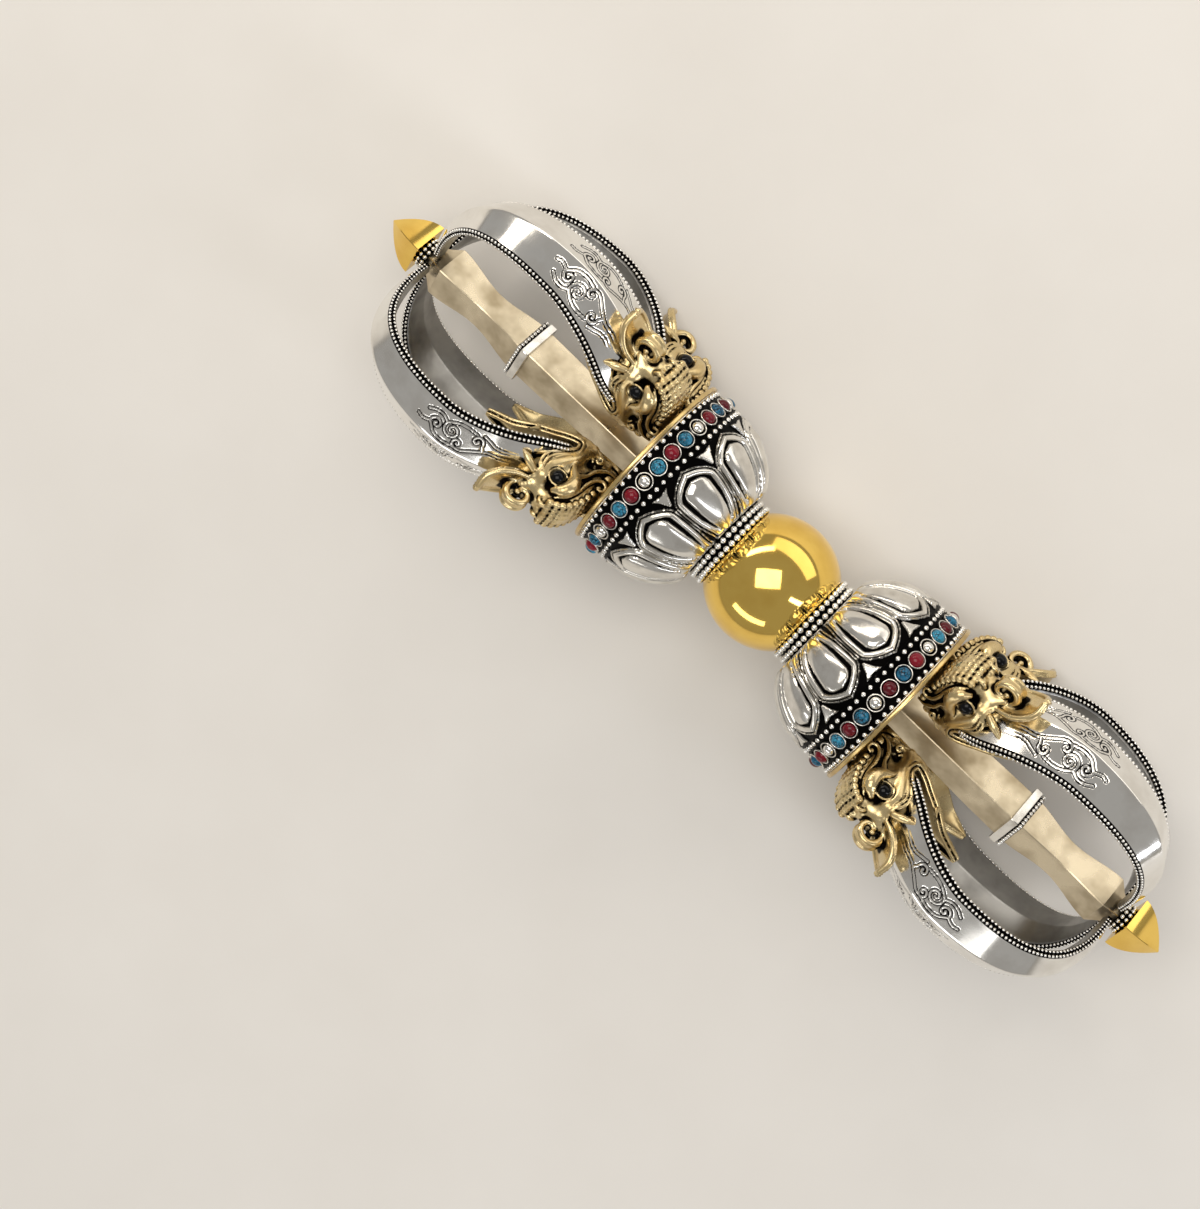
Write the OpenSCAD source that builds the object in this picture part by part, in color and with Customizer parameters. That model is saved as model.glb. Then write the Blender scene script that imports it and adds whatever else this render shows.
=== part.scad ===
// Five-pronged dorje (vajra): two rigid prong cages on a ball hub, clamped on one tie rod.
// Each end is drawn along +Z from the hub's centre, then laid along the X axis.
// Prongs stand at 45 degrees to the vertical, so the dorje lies on four prong edges.

/* [Hub] */
// Diameter of the grip ball
hub_d = 28; // [24:0.5:32]
// Distance from the ball's centre to the flat that the collar seats on
hub_flat = 10; // [8:0.25:11.5]

/* [Bead collar] */
// Thickness of the collar along the axis
collar_len = 3.4; // [2.6:0.1:4.5]
// Diameter of the collar's plain core
collar_d = 19.6; // [17:0.2:21]
// Diameter of the granules in its two rows
collar_bead_d = 1.5; // [1.1:0.05:1.55]

/* [Lotus cup] */
// Length of the petalled cup along the axis
cup_len = 14.2; // [11:0.2:18]
// Diameter of the cup at its wide rim, under the petals
cup_rim_d = 39.6; // [36:0.2:44]
// Diameter of the cup at its neck, under the petals
cup_neck_d = 19; // [16:0.2:21]
// Wall of the hollow cup
cup_wall = 2.2; // [1.6:0.1:3.2]
// Petals round the cup
petals = 10; // [8:1:12]
// Height of a petal's raised border over the cup
petal_rise = 0.8; // [0.4:0.05:1.2]
// Width of a petal's raised border
petal_border = 0.9; // [0.6:0.05:1.3]
// Height of a petal's polished boss over the cup
boss_rise = 1.1; // [0.5:0.05:1.6]

/* [Gem band] */
// Width of the band along the axis
band_len = 7.2; // [6.8:0.1:9]
// Diameter of a stone
gem_d = 2.4; // [2:0.1:2.6]
// Height of a stone's dome over its bezel
gem_dome = 1; // [0.5:0.1:1.2]
// Wall of a bezel
bezel_wall = 0.6; // [0.4:0.02:0.66]
// How far a bezel stands out of the band
bezel_rise = 0.5; // [0.3:0.05:0.9]
// Diameter of the granules in the two rows beside the stones
band_bead_d = 1.3; // [0.9:0.05:1.4]

/* [End plate] */
// Thickness of the plate that closes the cup
plate_t = 0.9; // [0.6:0.1:1.6]
// How far the plate stands out past the band
plate_lip = 0.7; // [0.2:0.1:1]

/* [Tie rod] */
// Diameter of the rod that clamps the stack
rod_d = 4; // [3:0.1:4.2]
// Depth that the rod screws into each spike
rod_grip = 13; // [8:0.5:18]

/* [Central spike] */
// Length of the spike from the plate to the shoulder that holds the prongs
spike_len = 58; // [52:0.5:66]
// Width of the square spike at its root
spike_root_w = 6.6; // [6:0.1:8]
// Width at the knop
spike_knop_w = 8; // [7:0.1:9.5]
// Width at the waist between knop and shoulder
spike_waist_w = 6; // [5:0.1:7]
// Width where it flares under the shoulder
spike_flare_w = 8.2; // [7:0.1:9]
// Height of the knop's middle above the plate
knop_at = 32.5; // [26:0.5:38]
// Length of the knop along the spike
knop_len = 3; // [2:0.1:4]
// How far the knop stands out of the spike
knop_rise = 0.9; // [0.8:0.05:1.4]
// Diameter of the beads in the knop's row
knop_bead_d = 0.8; // [0.6:0.05:0.9]

/* [Prongs] */
// Radius of the cage at the prongs' outer ridge
cage_r = 32.4; // [29:0.2:36]
// Height above the plate where the cage is widest
cage_belly = 33; // [30:0.5:37]
// Half width of a prong at its widest
prong_half_w = 8.9; // [7:0.1:9.4]
// Half width at the root, in the makara's mouth
prong_root_half_w = 5.6; // [4:0.1:6.2]
// Half width at the tip
prong_tip_half_w = 2; // [1.2:0.05:2.2]
// Height of the outer ridge over the edges, at the belly
prong_ridge = 3.6; // [2:0.1:4.2]
// Thickness of the edges, at the belly
prong_edge = 1.9; // [1.2:0.1:2.6]
// Height of the inner ridge, at the belly
prong_keel = 1.4; // [0.5:0.1:2]

/* [Makara heads] */
// Height of a head from its chin to the top of its trunk
head_h = 21; // [18:0.5:23]
// Distance of the head's peg from the plate's rim
head_inset = 6.8; // [6:0.2:9]
// Half width of the head across its cheeks
head_half_w = 6.6; // [5.5:0.1:7.4]
// Diameter of an eye bead
eye_d = 3.2; // [2.4:0.1:3.6]
// Diameter of the peg that fixes a head in the plate
peg_d = 3; // [2:0.1:3.6]

/* [Finial] */
// Thickness of the beaded tip collar
tip_collar_len = 2.1; // [2:0.1:2.6]
// Diameter of the tip collar's core
tip_collar_d = 6.2; // [5.6:0.1:7.2]
// Diameter of the granules in the tip collar's two rows
tip_bead_d = 0.85; // [0.65:0.05:0.85]
// Width of the pointed finial at its base
finial_w = 8.6; // [7:0.1:9.4]
// Height of the pointed finial
finial_h = 8.8; // [8:0.2:12]
// Diameter of the threaded stud that holds the finial
stud_d = 3; // [2.4:0.1:3.4]
// Depth that the stud screws into the finial
stud_grip = 3.5; // [2.5:0.25:4]

/* [Fits] */
// Radial clearance of a rod, peg or stud in its hole
hole_gap = 0.1; // [0.05:0.01:0.2]
// Clearance where one casting seats against another
seat_gap = 0.12; // [0.06:0.01:0.25]

/* [Hidden] */
$fn = 48;
ends = ["left", "right"];
prong_turns = [45, 135, 225, 315];
// How far a cutter reaches past what it cuts, and how far a blind hole runs on past its thread
over = 1;
thread_relief = 0.4;

// Stations along one end, from the hub's centre outwards
z_collar = hub_flat;
z_cup = z_collar + collar_len;
z_band = z_cup + cup_len;
z_plate = z_band + band_len;
z_root = z_plate + plate_t;
z_shoulder = z_root + spike_len;

// Radii of the stack
hub_r = hub_d / 2;
bore_r = rod_d / 2 + hole_gap;
rim_r = cup_rim_d / 2;
neck_r = cup_neck_d / 2;
plate_r = rim_r + plate_lip;
cup_bore_r = rim_r - cup_wall;

// Depth of the bezels in the band, thickness of their floors and play of a stone or granule in its setting
bezel_depth = 0.9;
bezel_floor = 0.3;
setting_gap = 0.05;
bezel_r = gem_d / 2 + setting_gap + bezel_wall;
// Stones come in runs of eight, as many as the band has room for
gem_space = 0.1;
gems = 8 * floor(2 * PI * rim_r / (8 * (2 * bezel_r + gem_space)));
SILVER = "S";
TURQUOISE = "T";
CORAL = "C";
gem_run = [SILVER, TURQUOISE, CORAL, TURQUOISE, SILVER, CORAL, TURQUOISE, CORAL];

// Tip of a prong: it dips to the axis, and is clamped between shoulder and tip collar
tip_dip = 8;
tip_ridge = 0.6;
tip_edge = 0.9;
tip_keel = 0.35;
tip_t = tip_ridge + tip_edge + tip_keel;
prong_end_r = 3;
z_prong_end = z_shoulder + seat_gap + tip_t * cos(tip_dip);
collar_seat_r = prong_end_r - seat_gap;
z_tip_collar = z_prong_end + seat_gap;
z_finial = z_tip_collar + tip_collar_len;
stud_r = stud_d / 2;

// Place and unit of a makara head: lengths below are drawn for a head 21 mm high and 6.6 mm half wide
head_k = head_h / 21;
side_k = head_half_w / 6.6;
head_r = plate_r - head_inset;
peg_r = peg_d / 2;
peg_tail = 1.2;

function lerp(a, b, t) = a + (b - a) * t;
function bezier(p, t) =
    pow(1 - t, 3) * p[0] + 3 * t * pow(1 - t, 2) * p[1] + 3 * t * t * (1 - t) * p[2] + pow(t, 3) * p[3];
function bezier_slope(p, t) =
    3 * pow(1 - t, 2) * (p[1] - p[0]) + 6 * t * (1 - t) * (p[2] - p[1]) + 3 * t * t * (p[3] - p[2]);
function unit(v) = v / norm(v);

// Outer profile of the cup, as [radius, height]
cup_steps = 6;
cup_curve = [
    [neck_r, z_cup],
    [neck_r + 0.5 * (rim_r - neck_r), z_cup + 0.08 * cup_len],
    [rim_r - 0.15 * (rim_r - neck_r), z_cup + 0.45 * cup_len],
    [rim_r, z_band]
];
function cup_profile(rise) =
    [for (i = [0 : cup_steps]) bezier(cup_curve, i / cup_steps) + [rise, 0]];
function reverse(list) = [for (i = [len(list) - 1 : -1 : 0]) list[i]];

// Sleeve of the gem band, which centres it in the cup: its radius allows for the cup's draft under the rim
sleeve_t = 1.2;
sleeve_len = 1.6;
rim_step = cup_profile(0)[cup_steps - 1];
rim_draft = (rim_r - rim_step[0]) / (z_band - rim_step[1]);
sleeve_r = cup_bore_r - rim_draft * sleeve_len - hole_gap;

// Outer ridge of a prong in its own plane, as [radius, height], in two curves that meet at the belly
mouth = head_point(8, 0.2);
belly = [cage_r, z_root + cage_belly];
prong_end = [prong_end_r, z_prong_end];
root_reach = [8.4, 0.6];
belly_reach = 10.8;
shoulder_up = 0.98;
shoulder_in = 0.44;
root_curve = [mouth, mouth + head_k * root_reach, belly - [0, belly_reach], belly];
tip_curve = [
    belly,
    belly + [0, shoulder_up * (prong_end[1] - belly[1])],
    prong_end + shoulder_in * (cage_r - prong_end_r) * [cos(tip_dip), sin(tip_dip)],
    prong_end
];
root_share = 0.43;
prong_steps = 18;
function ridge_point(u) =
    u < root_share ? bezier(root_curve, u / root_share)
                   : bezier(tip_curve, (u - root_share) / (1 - root_share));
function ridge_slope(u) =
    unit(u < root_share ? bezier_slope(root_curve, u / root_share)
                        : bezier_slope(tip_curve, (u - root_share) / (1 - root_share)));
// Side of the ridge that faces away from the axis
function ridge_out(u) = [ridge_slope(u)[1], -ridge_slope(u)[0]];

// Taper of a prong: grows from its root to the widest place, then falls to its tip
widest = 0.19;
root_ridge = 0.6 * prong_ridge;
// Share of an edge that stands square, and width of the inner face beside that of the prong
square_edge = 0.55;
inner_share = 0.72;
function taper(u, root, most, tip) =
    u < widest ? root + (most - root) * sin(90 * u / widest)
               : tip + (most - tip) * cos(90 * (u - widest) / (1 - widest));
function prong_w(u) = taper(u, prong_root_half_w, prong_half_w, prong_tip_half_w);
function prong_section(u, gap) =
    let (w = prong_w(u) + gap,
         ridge = taper(u, root_ridge, prong_ridge, tip_ridge),
         edge = taper(u, prong_edge, prong_edge, tip_edge),
         keel = taper(u, prong_keel, prong_keel, tip_keel),
         inner_w = inner_share * w)
    [[0, gap], [w, -ridge + gap / 2], [w, -ridge - edge * square_edge], [inner_w, -ridge - edge - gap],
     [0, -ridge - edge - keel - gap],
     [-inner_w, -ridge - edge - gap], [-w, -ridge - edge * square_edge], [-w, -ridge + gap / 2]];
function prong_ring(u, gap) =
    [for (s = prong_section(u, gap))
        let (p = ridge_point(u) + s[1] * ridge_out(u)) [p[0], s[0], p[1]]];
// Lowest reach of a prong that stands at 45 degrees to the vertical
function prong_low() =
    max([for (i = [0 : prong_steps])
        for (p = prong_ring(i / prong_steps, 0)) (p[0] + abs(p[1])) / sqrt(2)]);

// The dorje lies on the edges of its lower prongs
rest_height = prong_low();

// A point in a head's own plane, from its height above the plate and its distance out from the peg
function head_point(up, out) = [head_r + head_k * out, z_root + head_k * up];

// Skin over rings of equal length that run anticlockwise about the way ahead, closed at both ends
module skin(rings) {
    count = len(rings[0]);
    last = len(rings) - 1;
    polyhedron(
        [for (r = rings) each r],
        concat(
            [[for (j = [0 : count - 1]) j]],
            [[for (j = [count - 1 : -1 : 0]) last * count + j]],
            [for (i = [0 : last - 1]) for (j = [0 : count - 1])
                let (a = i * count + j, b = i * count + (j + 1) % count)
                each [[a, b + count, b], [a, a + count, b + count]]]));
}

// Lays an end along the X axis and lifts it to its rest height
module at_end(e) {
    translate([0, 0, rest_height])
        rotate([0, e == "right" ? 90 : -90, 0])
            children();
}

// Spacing of the granules along a row, in diameters
collar_spacing = 1.02;
band_spacing = 1.4;
tip_spacing = 1.35;
// A row of granules: [diameter, radius of the row, height, spacing]
collar_rows = [
    [collar_bead_d, collar_d / 2, z_collar + collar_bead_d / 2 + seat_gap, collar_spacing],
    [collar_bead_d, collar_d / 2, z_cup - collar_bead_d / 2 - seat_gap, collar_spacing]
];
band_rows = [
    [band_bead_d, rim_r, z_band + band_bead_d / 2 + seat_gap, band_spacing],
    [band_bead_d, rim_r, z_plate - band_bead_d / 2 - seat_gap, band_spacing]
];
tip_rows = [
    for (share = [0.25, 0.75])
        [tip_bead_d, tip_collar_d / 2, z_tip_collar + share * tip_collar_len, tip_spacing]
];

module granule_row(row) {
    count = floor(2 * PI * row[1] / (row[0] * row[3]));
    for (i = [0 : count - 1])
        rotate(360 * i / count) translate([row[1], 0, row[2]]) sphere(d = row[0]);
}
// Round channel that a row of granules lies in
module granule_channel(row) {
    rotate_extrude() translate([row[1], row[2]]) circle(d = row[0] + 2 * setting_gap);
}
module granules() {
    color("whitesmoke")
        for (row = concat(collar_rows, band_rows, tip_rows)) granule_row(row);
}

module hub_ball() {
    color("goldenrod")
        translate([0, 0, rest_height]) rotate([0, 90, 0])
            rotate_extrude()
                intersection() {
                    circle(hub_r);
                    translate([bore_r, -hub_flat]) square([hub_r, 2 * hub_flat]);
                }
}

module tie_rod() {
    half = z_root + rod_grip;
    color("dimgray")
        translate([0, 0, rest_height]) rotate([0, 90, 0])
            cylinder(d = rod_d, h = 2 * half, center = true);
}

module bead_collar() {
    color("silver")
        difference() {
            translate([0, 0, z_collar]) cylinder(d = collar_d, h = collar_len);
            translate([0, 0, z_collar - over]) cylinder(r = bore_r, h = collar_len + 2 * over);
            for (row = collar_rows) granule_channel(row);
        }
}

// Outline of a petal, drawn along its length: straight sides that widen, then a rounded end
petal_arc_steps = 5;
petal_swell = 0.6;
module petal_outline(length, half_w, root_half_w) {
    swell = petal_swell * length;
    end = [for (i = [0 : petal_arc_steps])
        let (a = 90 * i / petal_arc_steps)
        [swell + (length - swell) * sin(a), half_w * cos(a)]];
    polygon(concat(
        [[0, root_half_w]],
        end,
        [for (i = [petal_arc_steps - 1 : -1 : 0]) [end[i][0], -end[i][1]]],
        [[0, -root_half_w]]));
}

// Stands an outline on its cup, with its length along the axis, as a prism out past the petals
module petal_prism(rise) {
    rotate([0, 90, 0]) linear_extrude(rim_r + rise + over)
        scale([-1, 1]) translate([z_cup + petal_foot, 0]) children();
}
// Cuts a petal's outline through a ring from the middle of the cup's wall to the given rise over the cup
module petal_relief(rise) {
    intersection() {
        rotate_extrude()
            polygon(concat(cup_profile(rise), reverse(cup_profile(-cup_wall / 2))));
        petal_prism(rise) children();
    }
}

petal_gap = 0.35;
petal_foot = 0.2;
petal_half_w = rim_r * sin(180 / petals) - petal_gap;
petal_root_half_w = neck_r * sin(180 / petals) - petal_gap;
petal_len = cup_len - 3 * petal_foot;
// Groove between a petal's border and its boss, and where the boss begins along the petal
petal_groove = 0.6;
boss_from = 0.45;
module petal() {
    difference() {
        petal_relief(petal_rise)
            petal_outline(petal_len, petal_half_w, petal_root_half_w);
        petal_prism(petal_rise)
            translate([petal_border, 0])
                petal_outline(petal_len - 2 * petal_border, petal_half_w - petal_border,
                    petal_root_half_w - petal_border);
    }
    petal_relief(boss_rise)
        translate([boss_from * petal_len, 0])
            petal_outline((1 - boss_from) * petal_len - petal_border - petal_groove,
                petal_half_w - petal_border - petal_groove, petal_root_half_w - petal_border);
}

module lotus_cup() {
    floor_z = z_cup + cup_wall;
    inside = [for (p = cup_profile(-cup_wall)) if (p[1] > floor_z) p];
    color("silver") {
        rotate_extrude()
            polygon(concat(
                [[bore_r, z_cup]], cup_profile(0), reverse(inside),
                [[inside[0][0], floor_z], [bore_r, floor_z]]));
        for (i = [0 : petals - 1])
            rotate(360 * i / petals) petal();
    }
}

// A place on the band: children stand on its wall and point outwards
module on_band(i) {
    rotate(360 * i / gems)
        translate([rim_r, 0, (z_band + z_plate) / 2])
            rotate([0, 90, 0]) children();
}

module gem_band() {
    color("silver")
        difference() {
            rotate_extrude() {
                translate([sleeve_r - sleeve_t, z_band])
                    square([rim_r - sleeve_r + sleeve_t, band_len]);
                translate([sleeve_r - sleeve_t, z_band - sleeve_len])
                    square([sleeve_t, sleeve_len + band_len / 2]);
            }
            for (row = band_rows) granule_channel(row);
            for (i = [0 : gems - 1])
                on_band(i) translate([0, 0, -bezel_depth])
                    cylinder(r = bezel_r + setting_gap, h = bezel_depth + over);
        }
}

module bezels() {
    color("gainsboro")
        for (i = [0 : gems - 1])
            on_band(i) translate([0, 0, -bezel_depth])
                difference() {
                    cylinder(r = bezel_r, h = bezel_depth + bezel_rise);
                    translate([0, 0, bezel_floor])
                        cylinder(d = gem_d + 2 * setting_gap, h = bezel_depth + bezel_rise);
                }
}

// Cabochon with a flat base and a domed top
module stone() {
    girdle = bezel_depth - bezel_floor + bezel_rise;
    dome = [for (i = [0 : 6]) [gem_d / 2 * cos(15 * i), girdle + gem_dome * sin(15 * i)]];
    translate([0, 0, bezel_floor - bezel_depth])
        rotate_extrude() polygon(concat([[0, 0], [gem_d / 2, 0]], dome));
}

module stones(kind, tint) {
    color(tint)
        for (i = [0 : gems - 1])
            if (gem_run[i % len(gem_run)] == kind)
                on_band(i) stone();
}

module end_plate() {
    color("darkgoldenrod")
        difference() {
            translate([0, 0, z_plate]) cylinder(r = plate_r, h = plate_t);
            translate([0, 0, z_plate - over]) cylinder(r = bore_r, h = plate_t + 2 * over);
            for (a = prong_turns)
                rotate(a) translate([head_r, 0, z_plate - over])
                    cylinder(r = peg_r + hole_gap, h = plate_t + 2 * over);
        }
}

// A square section at one height, with a side facing each prong
function square_ring(half, z) =
    [for (a = [0 : 3]) let (t = 90 * a) [half * sqrt(2) * cos(t), half * sqrt(2) * sin(t), z]];

// Half width of the spike along its length: swells to the knop, draws in at the waist, flares again
flare_at = spike_len - 2;
waist_at = (knop_at + flare_at) / 2;
function ease(a, b, t) = lerp(a, b, (1 - cos(180 * t)) / 2);
function spike_half(h) =
    (h < knop_at ? lerp(spike_root_w, spike_knop_w, sin(90 * h / knop_at))
     : h < waist_at ? ease(spike_knop_w, spike_waist_w, (h - knop_at) / (waist_at - knop_at))
     : ease(spike_waist_w, spike_flare_w, (h - waist_at) / (flare_at - waist_at))) / 2;

module spike() {
    shank_steps = 14;
    color("lightgray")
        difference() {
            union() {
                skin(concat(
                    [for (i = [0 : shank_steps])
                        let (h = flare_at * i / shank_steps) square_ring(spike_half(h), z_root + h)],
                    [square_ring(collar_seat_r, z_shoulder)]));
                translate([0, 0, z_shoulder - over])
                    cylinder(r = collar_seat_r, h = z_tip_collar - z_shoulder + over);
                translate([0, 0, z_shoulder]) cylinder(r = stud_r, h = z_finial - z_shoulder + stud_grip);
            }
            translate([0, 0, z_root - over]) cylinder(r = bore_r, h = over + rod_grip + thread_relief);
        }
}

// Square knop round the spike: a plain bar, then a row of beads on a lower step
module spike_knop() {
    bead_pitch = 1.06 * knop_bead_d;
    bead_sink = 0.25 * knop_bead_d;
    bead_margin = 0.15;
    bar_len = knop_len - knop_bead_d - 2 * bead_margin;
    bar_edge = 0.3;
    z0 = z_root + knop_at - knop_len / 2;
    core = max([for (h = [-1, 0, 1]) spike_half(knop_at + h * knop_len / 2)]) + seat_gap;
    bar = core + knop_rise;
    row = bar - knop_bead_d / 2;
    step = row - bead_sink;
    row_z = z0 + bar_len + bead_margin + knop_bead_d / 2;
    side_beads = floor(2 * row / bead_pitch);
    color("silver")
        rotate(45)
            difference() {
                union() {
                    translate([0, 0, z0 + bar_len / 2]) {
                        cube([2 * bar, 2 * bar, bar_len - 2 * bar_edge], center = true);
                        cube([2 * (bar - bar_edge), 2 * (bar - bar_edge), bar_len], center = true);
                    }
                    translate([0, 0, z0 + knop_len / 2])
                        cube([2 * step, 2 * step, knop_len], center = true);
                    for (side = [0 : 3], i = [0 : side_beads - 1])
                        rotate(90 * side)
                            translate([row, row * (2 * i / side_beads - 1), row_z]) sphere(d = knop_bead_d);
                }
                translate([0, 0, z0 + knop_len / 2])
                    cube([2 * core, 2 * core, 2 * knop_len], center = true);
            }
}

module prong(gap = 0) {
    color("silver")
        skin([for (i = [0 : prong_steps]) prong_ring(i / prong_steps, gap)]);
}

module tip_collar() {
    color("silver")
        difference() {
            translate([0, 0, z_tip_collar]) cylinder(d = tip_collar_d, h = tip_collar_len);
            translate([0, 0, z_tip_collar - over])
                cylinder(r = stud_r + hole_gap, h = tip_collar_len + 2 * over);
            for (row = tip_rows) granule_channel(row);
        }
}

// Pointed cap with four bowed faces
module finial() {
    rise_steps = 6;
    point_half_w = 0.15;
    bow = 1.8;
    color("goldenrod")
        difference() {
            skin([for (i = [0 : rise_steps])
                let (t = i / rise_steps)
                square_ring(lerp(finial_w / 2, point_half_w, pow(t, bow)), z_finial + finial_h * t)]);
            translate([0, 0, z_finial - over])
                cylinder(r = stud_r + hole_gap, h = over + stud_grip + thread_relief);
        }
}

// Rounded lump of a head, at a height above the plate, a distance out from the peg and to one side
module lump(up, out, side, r, sides = 8) {
    p = head_point(up, out);
    translate([p[0], side_k * side, p[1]]) sphere(head_k * r, $fn = sides);
}
module lump_pair(up, out, side, r, sides = 8) {
    lump(up, out, side, r, sides);
    lump(up, out, -side, r, sides);
}
// Outline of a band along points of [out, up, half width]
function band_left(p, i) =
    let (a = p[max(i - 1, 0)], b = p[min(i + 1, len(p) - 1)], d = unit([b[0] - a[0], b[1] - a[1]]))
    p[i][2] * [-d[1], d[0]];
function band_outline(p) = concat(
    [for (i = [0 : len(p) - 1]) [p[i][0], p[i][1]] + band_left(p, i)],
    [for (i = [len(p) - 1 : -1 : 0]) [p[i][0], p[i][1]] - band_left(p, i)]);
// Stands an outline of [out, up] on the head's plane, from one distance off the middle to another
module on_cheeks(from, to) {
    for (flip = [0, 1])
        mirror([0, flip, 0])
            translate([head_r, -side_k * from, z_root]) rotate([90, 0, 0])
                linear_extrude(side_k * (to - from)) scale(head_k) children();
}
module across_head(half) {
    translate([head_r, 0, z_root]) rotate([90, 0, 0])
        linear_extrude(2 * side_k * half, center = true) scale(head_k) children();
}

// Skull, snout and lower jaw
module head_mass() {
    hull() {
        lump_pair(3.2, -1.2, 2, 2.7, 6);
        lump_pair(5.6, 8.6, 2.6, 3.2);
        lump_pair(8.8, 7, 3, 3);
        lump_pair(7.6, 0.6, 2.8, 3, 6);
    }
    hull() {
        lump_pair(7, 11, 2.2, 2.4, 6);
        lump_pair(11.6, 11.2, 2.2, 2, 6);
        lump_pair(11.2, 8, 3.4, 2, 6);
    }
    hull() {
        lump_pair(5.4, -2.4, 2.2, 2.2, 6);
        lump_pair(10, -2.6, 3.2, 2, 6);
        lump_pair(13.6, -3.2, 2.4, 1.4, 6);
    }
}

// Jaw leaf under the prong and lip leaf over it: a curved blade that tapers to its point
leaf_steps = 5;
module leaf(root, bend, tip, half_w) {
    curve = [root, lerp(root, bend, 0.7), lerp(tip, bend, 0.7), tip];
    skin([for (i = [0 : leaf_steps])
        let (t = i / leaf_steps,
             c = bezier(curve, t),
             d = unit(bezier_slope(curve, t)),
             w = side_k * lerp(half_w * sin(lerp(75, 180, t)) + 0.1, 0.2, t),
             thick = head_k * lerp(1, 0.3, t))
        [for (q = [[1, 0], [0.6, -1], [-0.6, -1], [-1, 0], [-0.6, 1], [0.6, 1]])
            let (p = head_point(c[1], c[0]) + q[1] * thick * [d[1], -d[0]])
            [p[0], q[0] * w, p[1]]]]);
}
module leaves() {
    leaf([-3.2, 12], [-3.4, 20], [3.8, 27.2], 3.2);
    leaf([11.4, 10.6], [14.2, 15.6], [18.8, 18.4], 3.8);
}

// Spiral ribbon of the trunk, from the lip round to its eye
trunk_steps = 13;
trunk_turn = 480;
trunk_eye = [14.8, 11.2];
function trunk_point(t) =
    let (a = trunk_turn * t - 30, r = lerp(3.6, 0.9, t))
    [trunk_eye[0] - cos(a) * r, trunk_eye[1] + sin(a) * r, lerp(0.8, 0.5, t)];
module trunk() {
    across_head(2.8) polygon(band_outline([for (i = [0 : trunk_steps]) trunk_point(i / trunk_steps)]));
    across_head(3) translate([12.6, 6.8]) circle(1.7, $fn = 10);
}

// Ribs across the nape, on an arc close to the plate
ribs = 6;
module nape_ribs() {
    for (i = [0 : ribs - 1])
        let (t = i / (ribs - 1),
             p = bezier([[-0.4, 1], [4, 1.4], [9.6, 2], [12, 5]], t),
             at = head_point(p[1], p[0]))
        hull()
            for (side = [-1, 1])
                translate([at[0], side * side_k * lerp(2.4, 3, t), at[1]]) rotate([90, 0, 0])
                    cylinder(r = head_k * 1.1, h = 0.4, center = true, $fn = 6);
}

module brow_and_lips() {
    on_cheeks(3.4, 6)
        polygon(band_outline([[7.6, 4.2, 0.5], [9.5, 4.5, 1], [11.2, 6.6, 1.1], [11, 9, 0.5]]));
    on_cheeks(3, 6.4)
        polygon(band_outline([
            [9.8, 12.6, 0.6], [7.6, 11.2, 0.8], [4.6, 8.8, 0.8],
            [0.8, 7, 0.8], [-2.8, 8.6, 0.9], [-3.8, 12.6, 0.6]
        ]));
    on_cheeks(3.4, 4.8) polygon([[9.6, 11.4], [8.2, 13.2], [6.9, 12.9], [7.6, 10.8]]);
}

// Eye beads, in pits bored into the cheeks
eye_up = 8;
eye_out = 8.3;
eye_side = 5;
module at_eyes() {
    p = head_point(eye_up, eye_out);
    for (flip = [-1, 1])
        translate([p[0], flip * side_k * eye_side, p[1]]) rotate([-90 * flip, 0, 0]) children();
}
module eye_pits() {
    pit_sides = 10;
    at_eyes() translate([0, 0, -eye_d / 2 - seat_gap])
        cylinder(d = (eye_d + 2 * seat_gap) / cos(180 / pit_sides), h = 2 * eye_d, $fn = pit_sides);
}

// Head on its peg: the mouth and the eye sockets are cut by what they hold
module makara() {
    peg_sides = 12;
    peg_head = 3;
    peg_skin = 0.02;
    below = plate_t + peg_tail + over;
    color("peru")
        difference() {
            union() {
                head_mass();
                leaves();
                trunk();
                nape_ribs();
                brow_and_lips();
                translate([head_r, 0, z_plate - peg_tail])
                    cylinder(r = peg_r, h = peg_tail + plate_t + peg_head, $fn = peg_sides);
            }
            prong(seat_gap);
            eye_pits();
            difference() {
                translate([0, 0, z_root - below]) cylinder(r = cage_r, h = below);
                translate([head_r, 0, z_root - below - over])
                    cylinder(r = peg_r + peg_skin, h = below + 2 * over, $fn = peg_sides);
            }
        }
}

module eyes() {
    color("black")
        for (a = prong_turns)
            rotate(a) at_eyes() sphere(d = eye_d);
}

hub_ball();
tie_rod();
for (e = ends) {
    at_end(e) bead_collar();
    at_end(e) lotus_cup();
    at_end(e) gem_band();
    at_end(e) bezels();
    at_end(e) stones(TURQUOISE, "turquoise");
    at_end(e) stones(CORAL, "firebrick");
    at_end(e) stones(SILVER, "silver");
    at_end(e) end_plate();
    at_end(e) granules();
    at_end(e) spike();
    at_end(e) spike_knop();
    at_end(e) tip_collar();
    at_end(e) finial();
    at_end(e) eyes();
    for (i = [1 : 4]) {
        at_end(e) rotate(prong_turns[i - 1]) prong();
        at_end(e) rotate(prong_turns[i - 1]) makara();
    }
}
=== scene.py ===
# %% [markdown]
# # A five-pronged dorje in silver and brass
# A dorje is a rigid sceptre: a ball in the middle, and at each end a collar, a lotus cup, a band of stones,
# four makara heads, four curved prongs, a square spike and a pointed finial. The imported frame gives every
# piece its place. This lesson gives each piece the shape and the finish that a silversmith would.

# %% Load the frame
import math
import bpy
import numpy as np
from mathutils import Matrix, Vector


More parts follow.
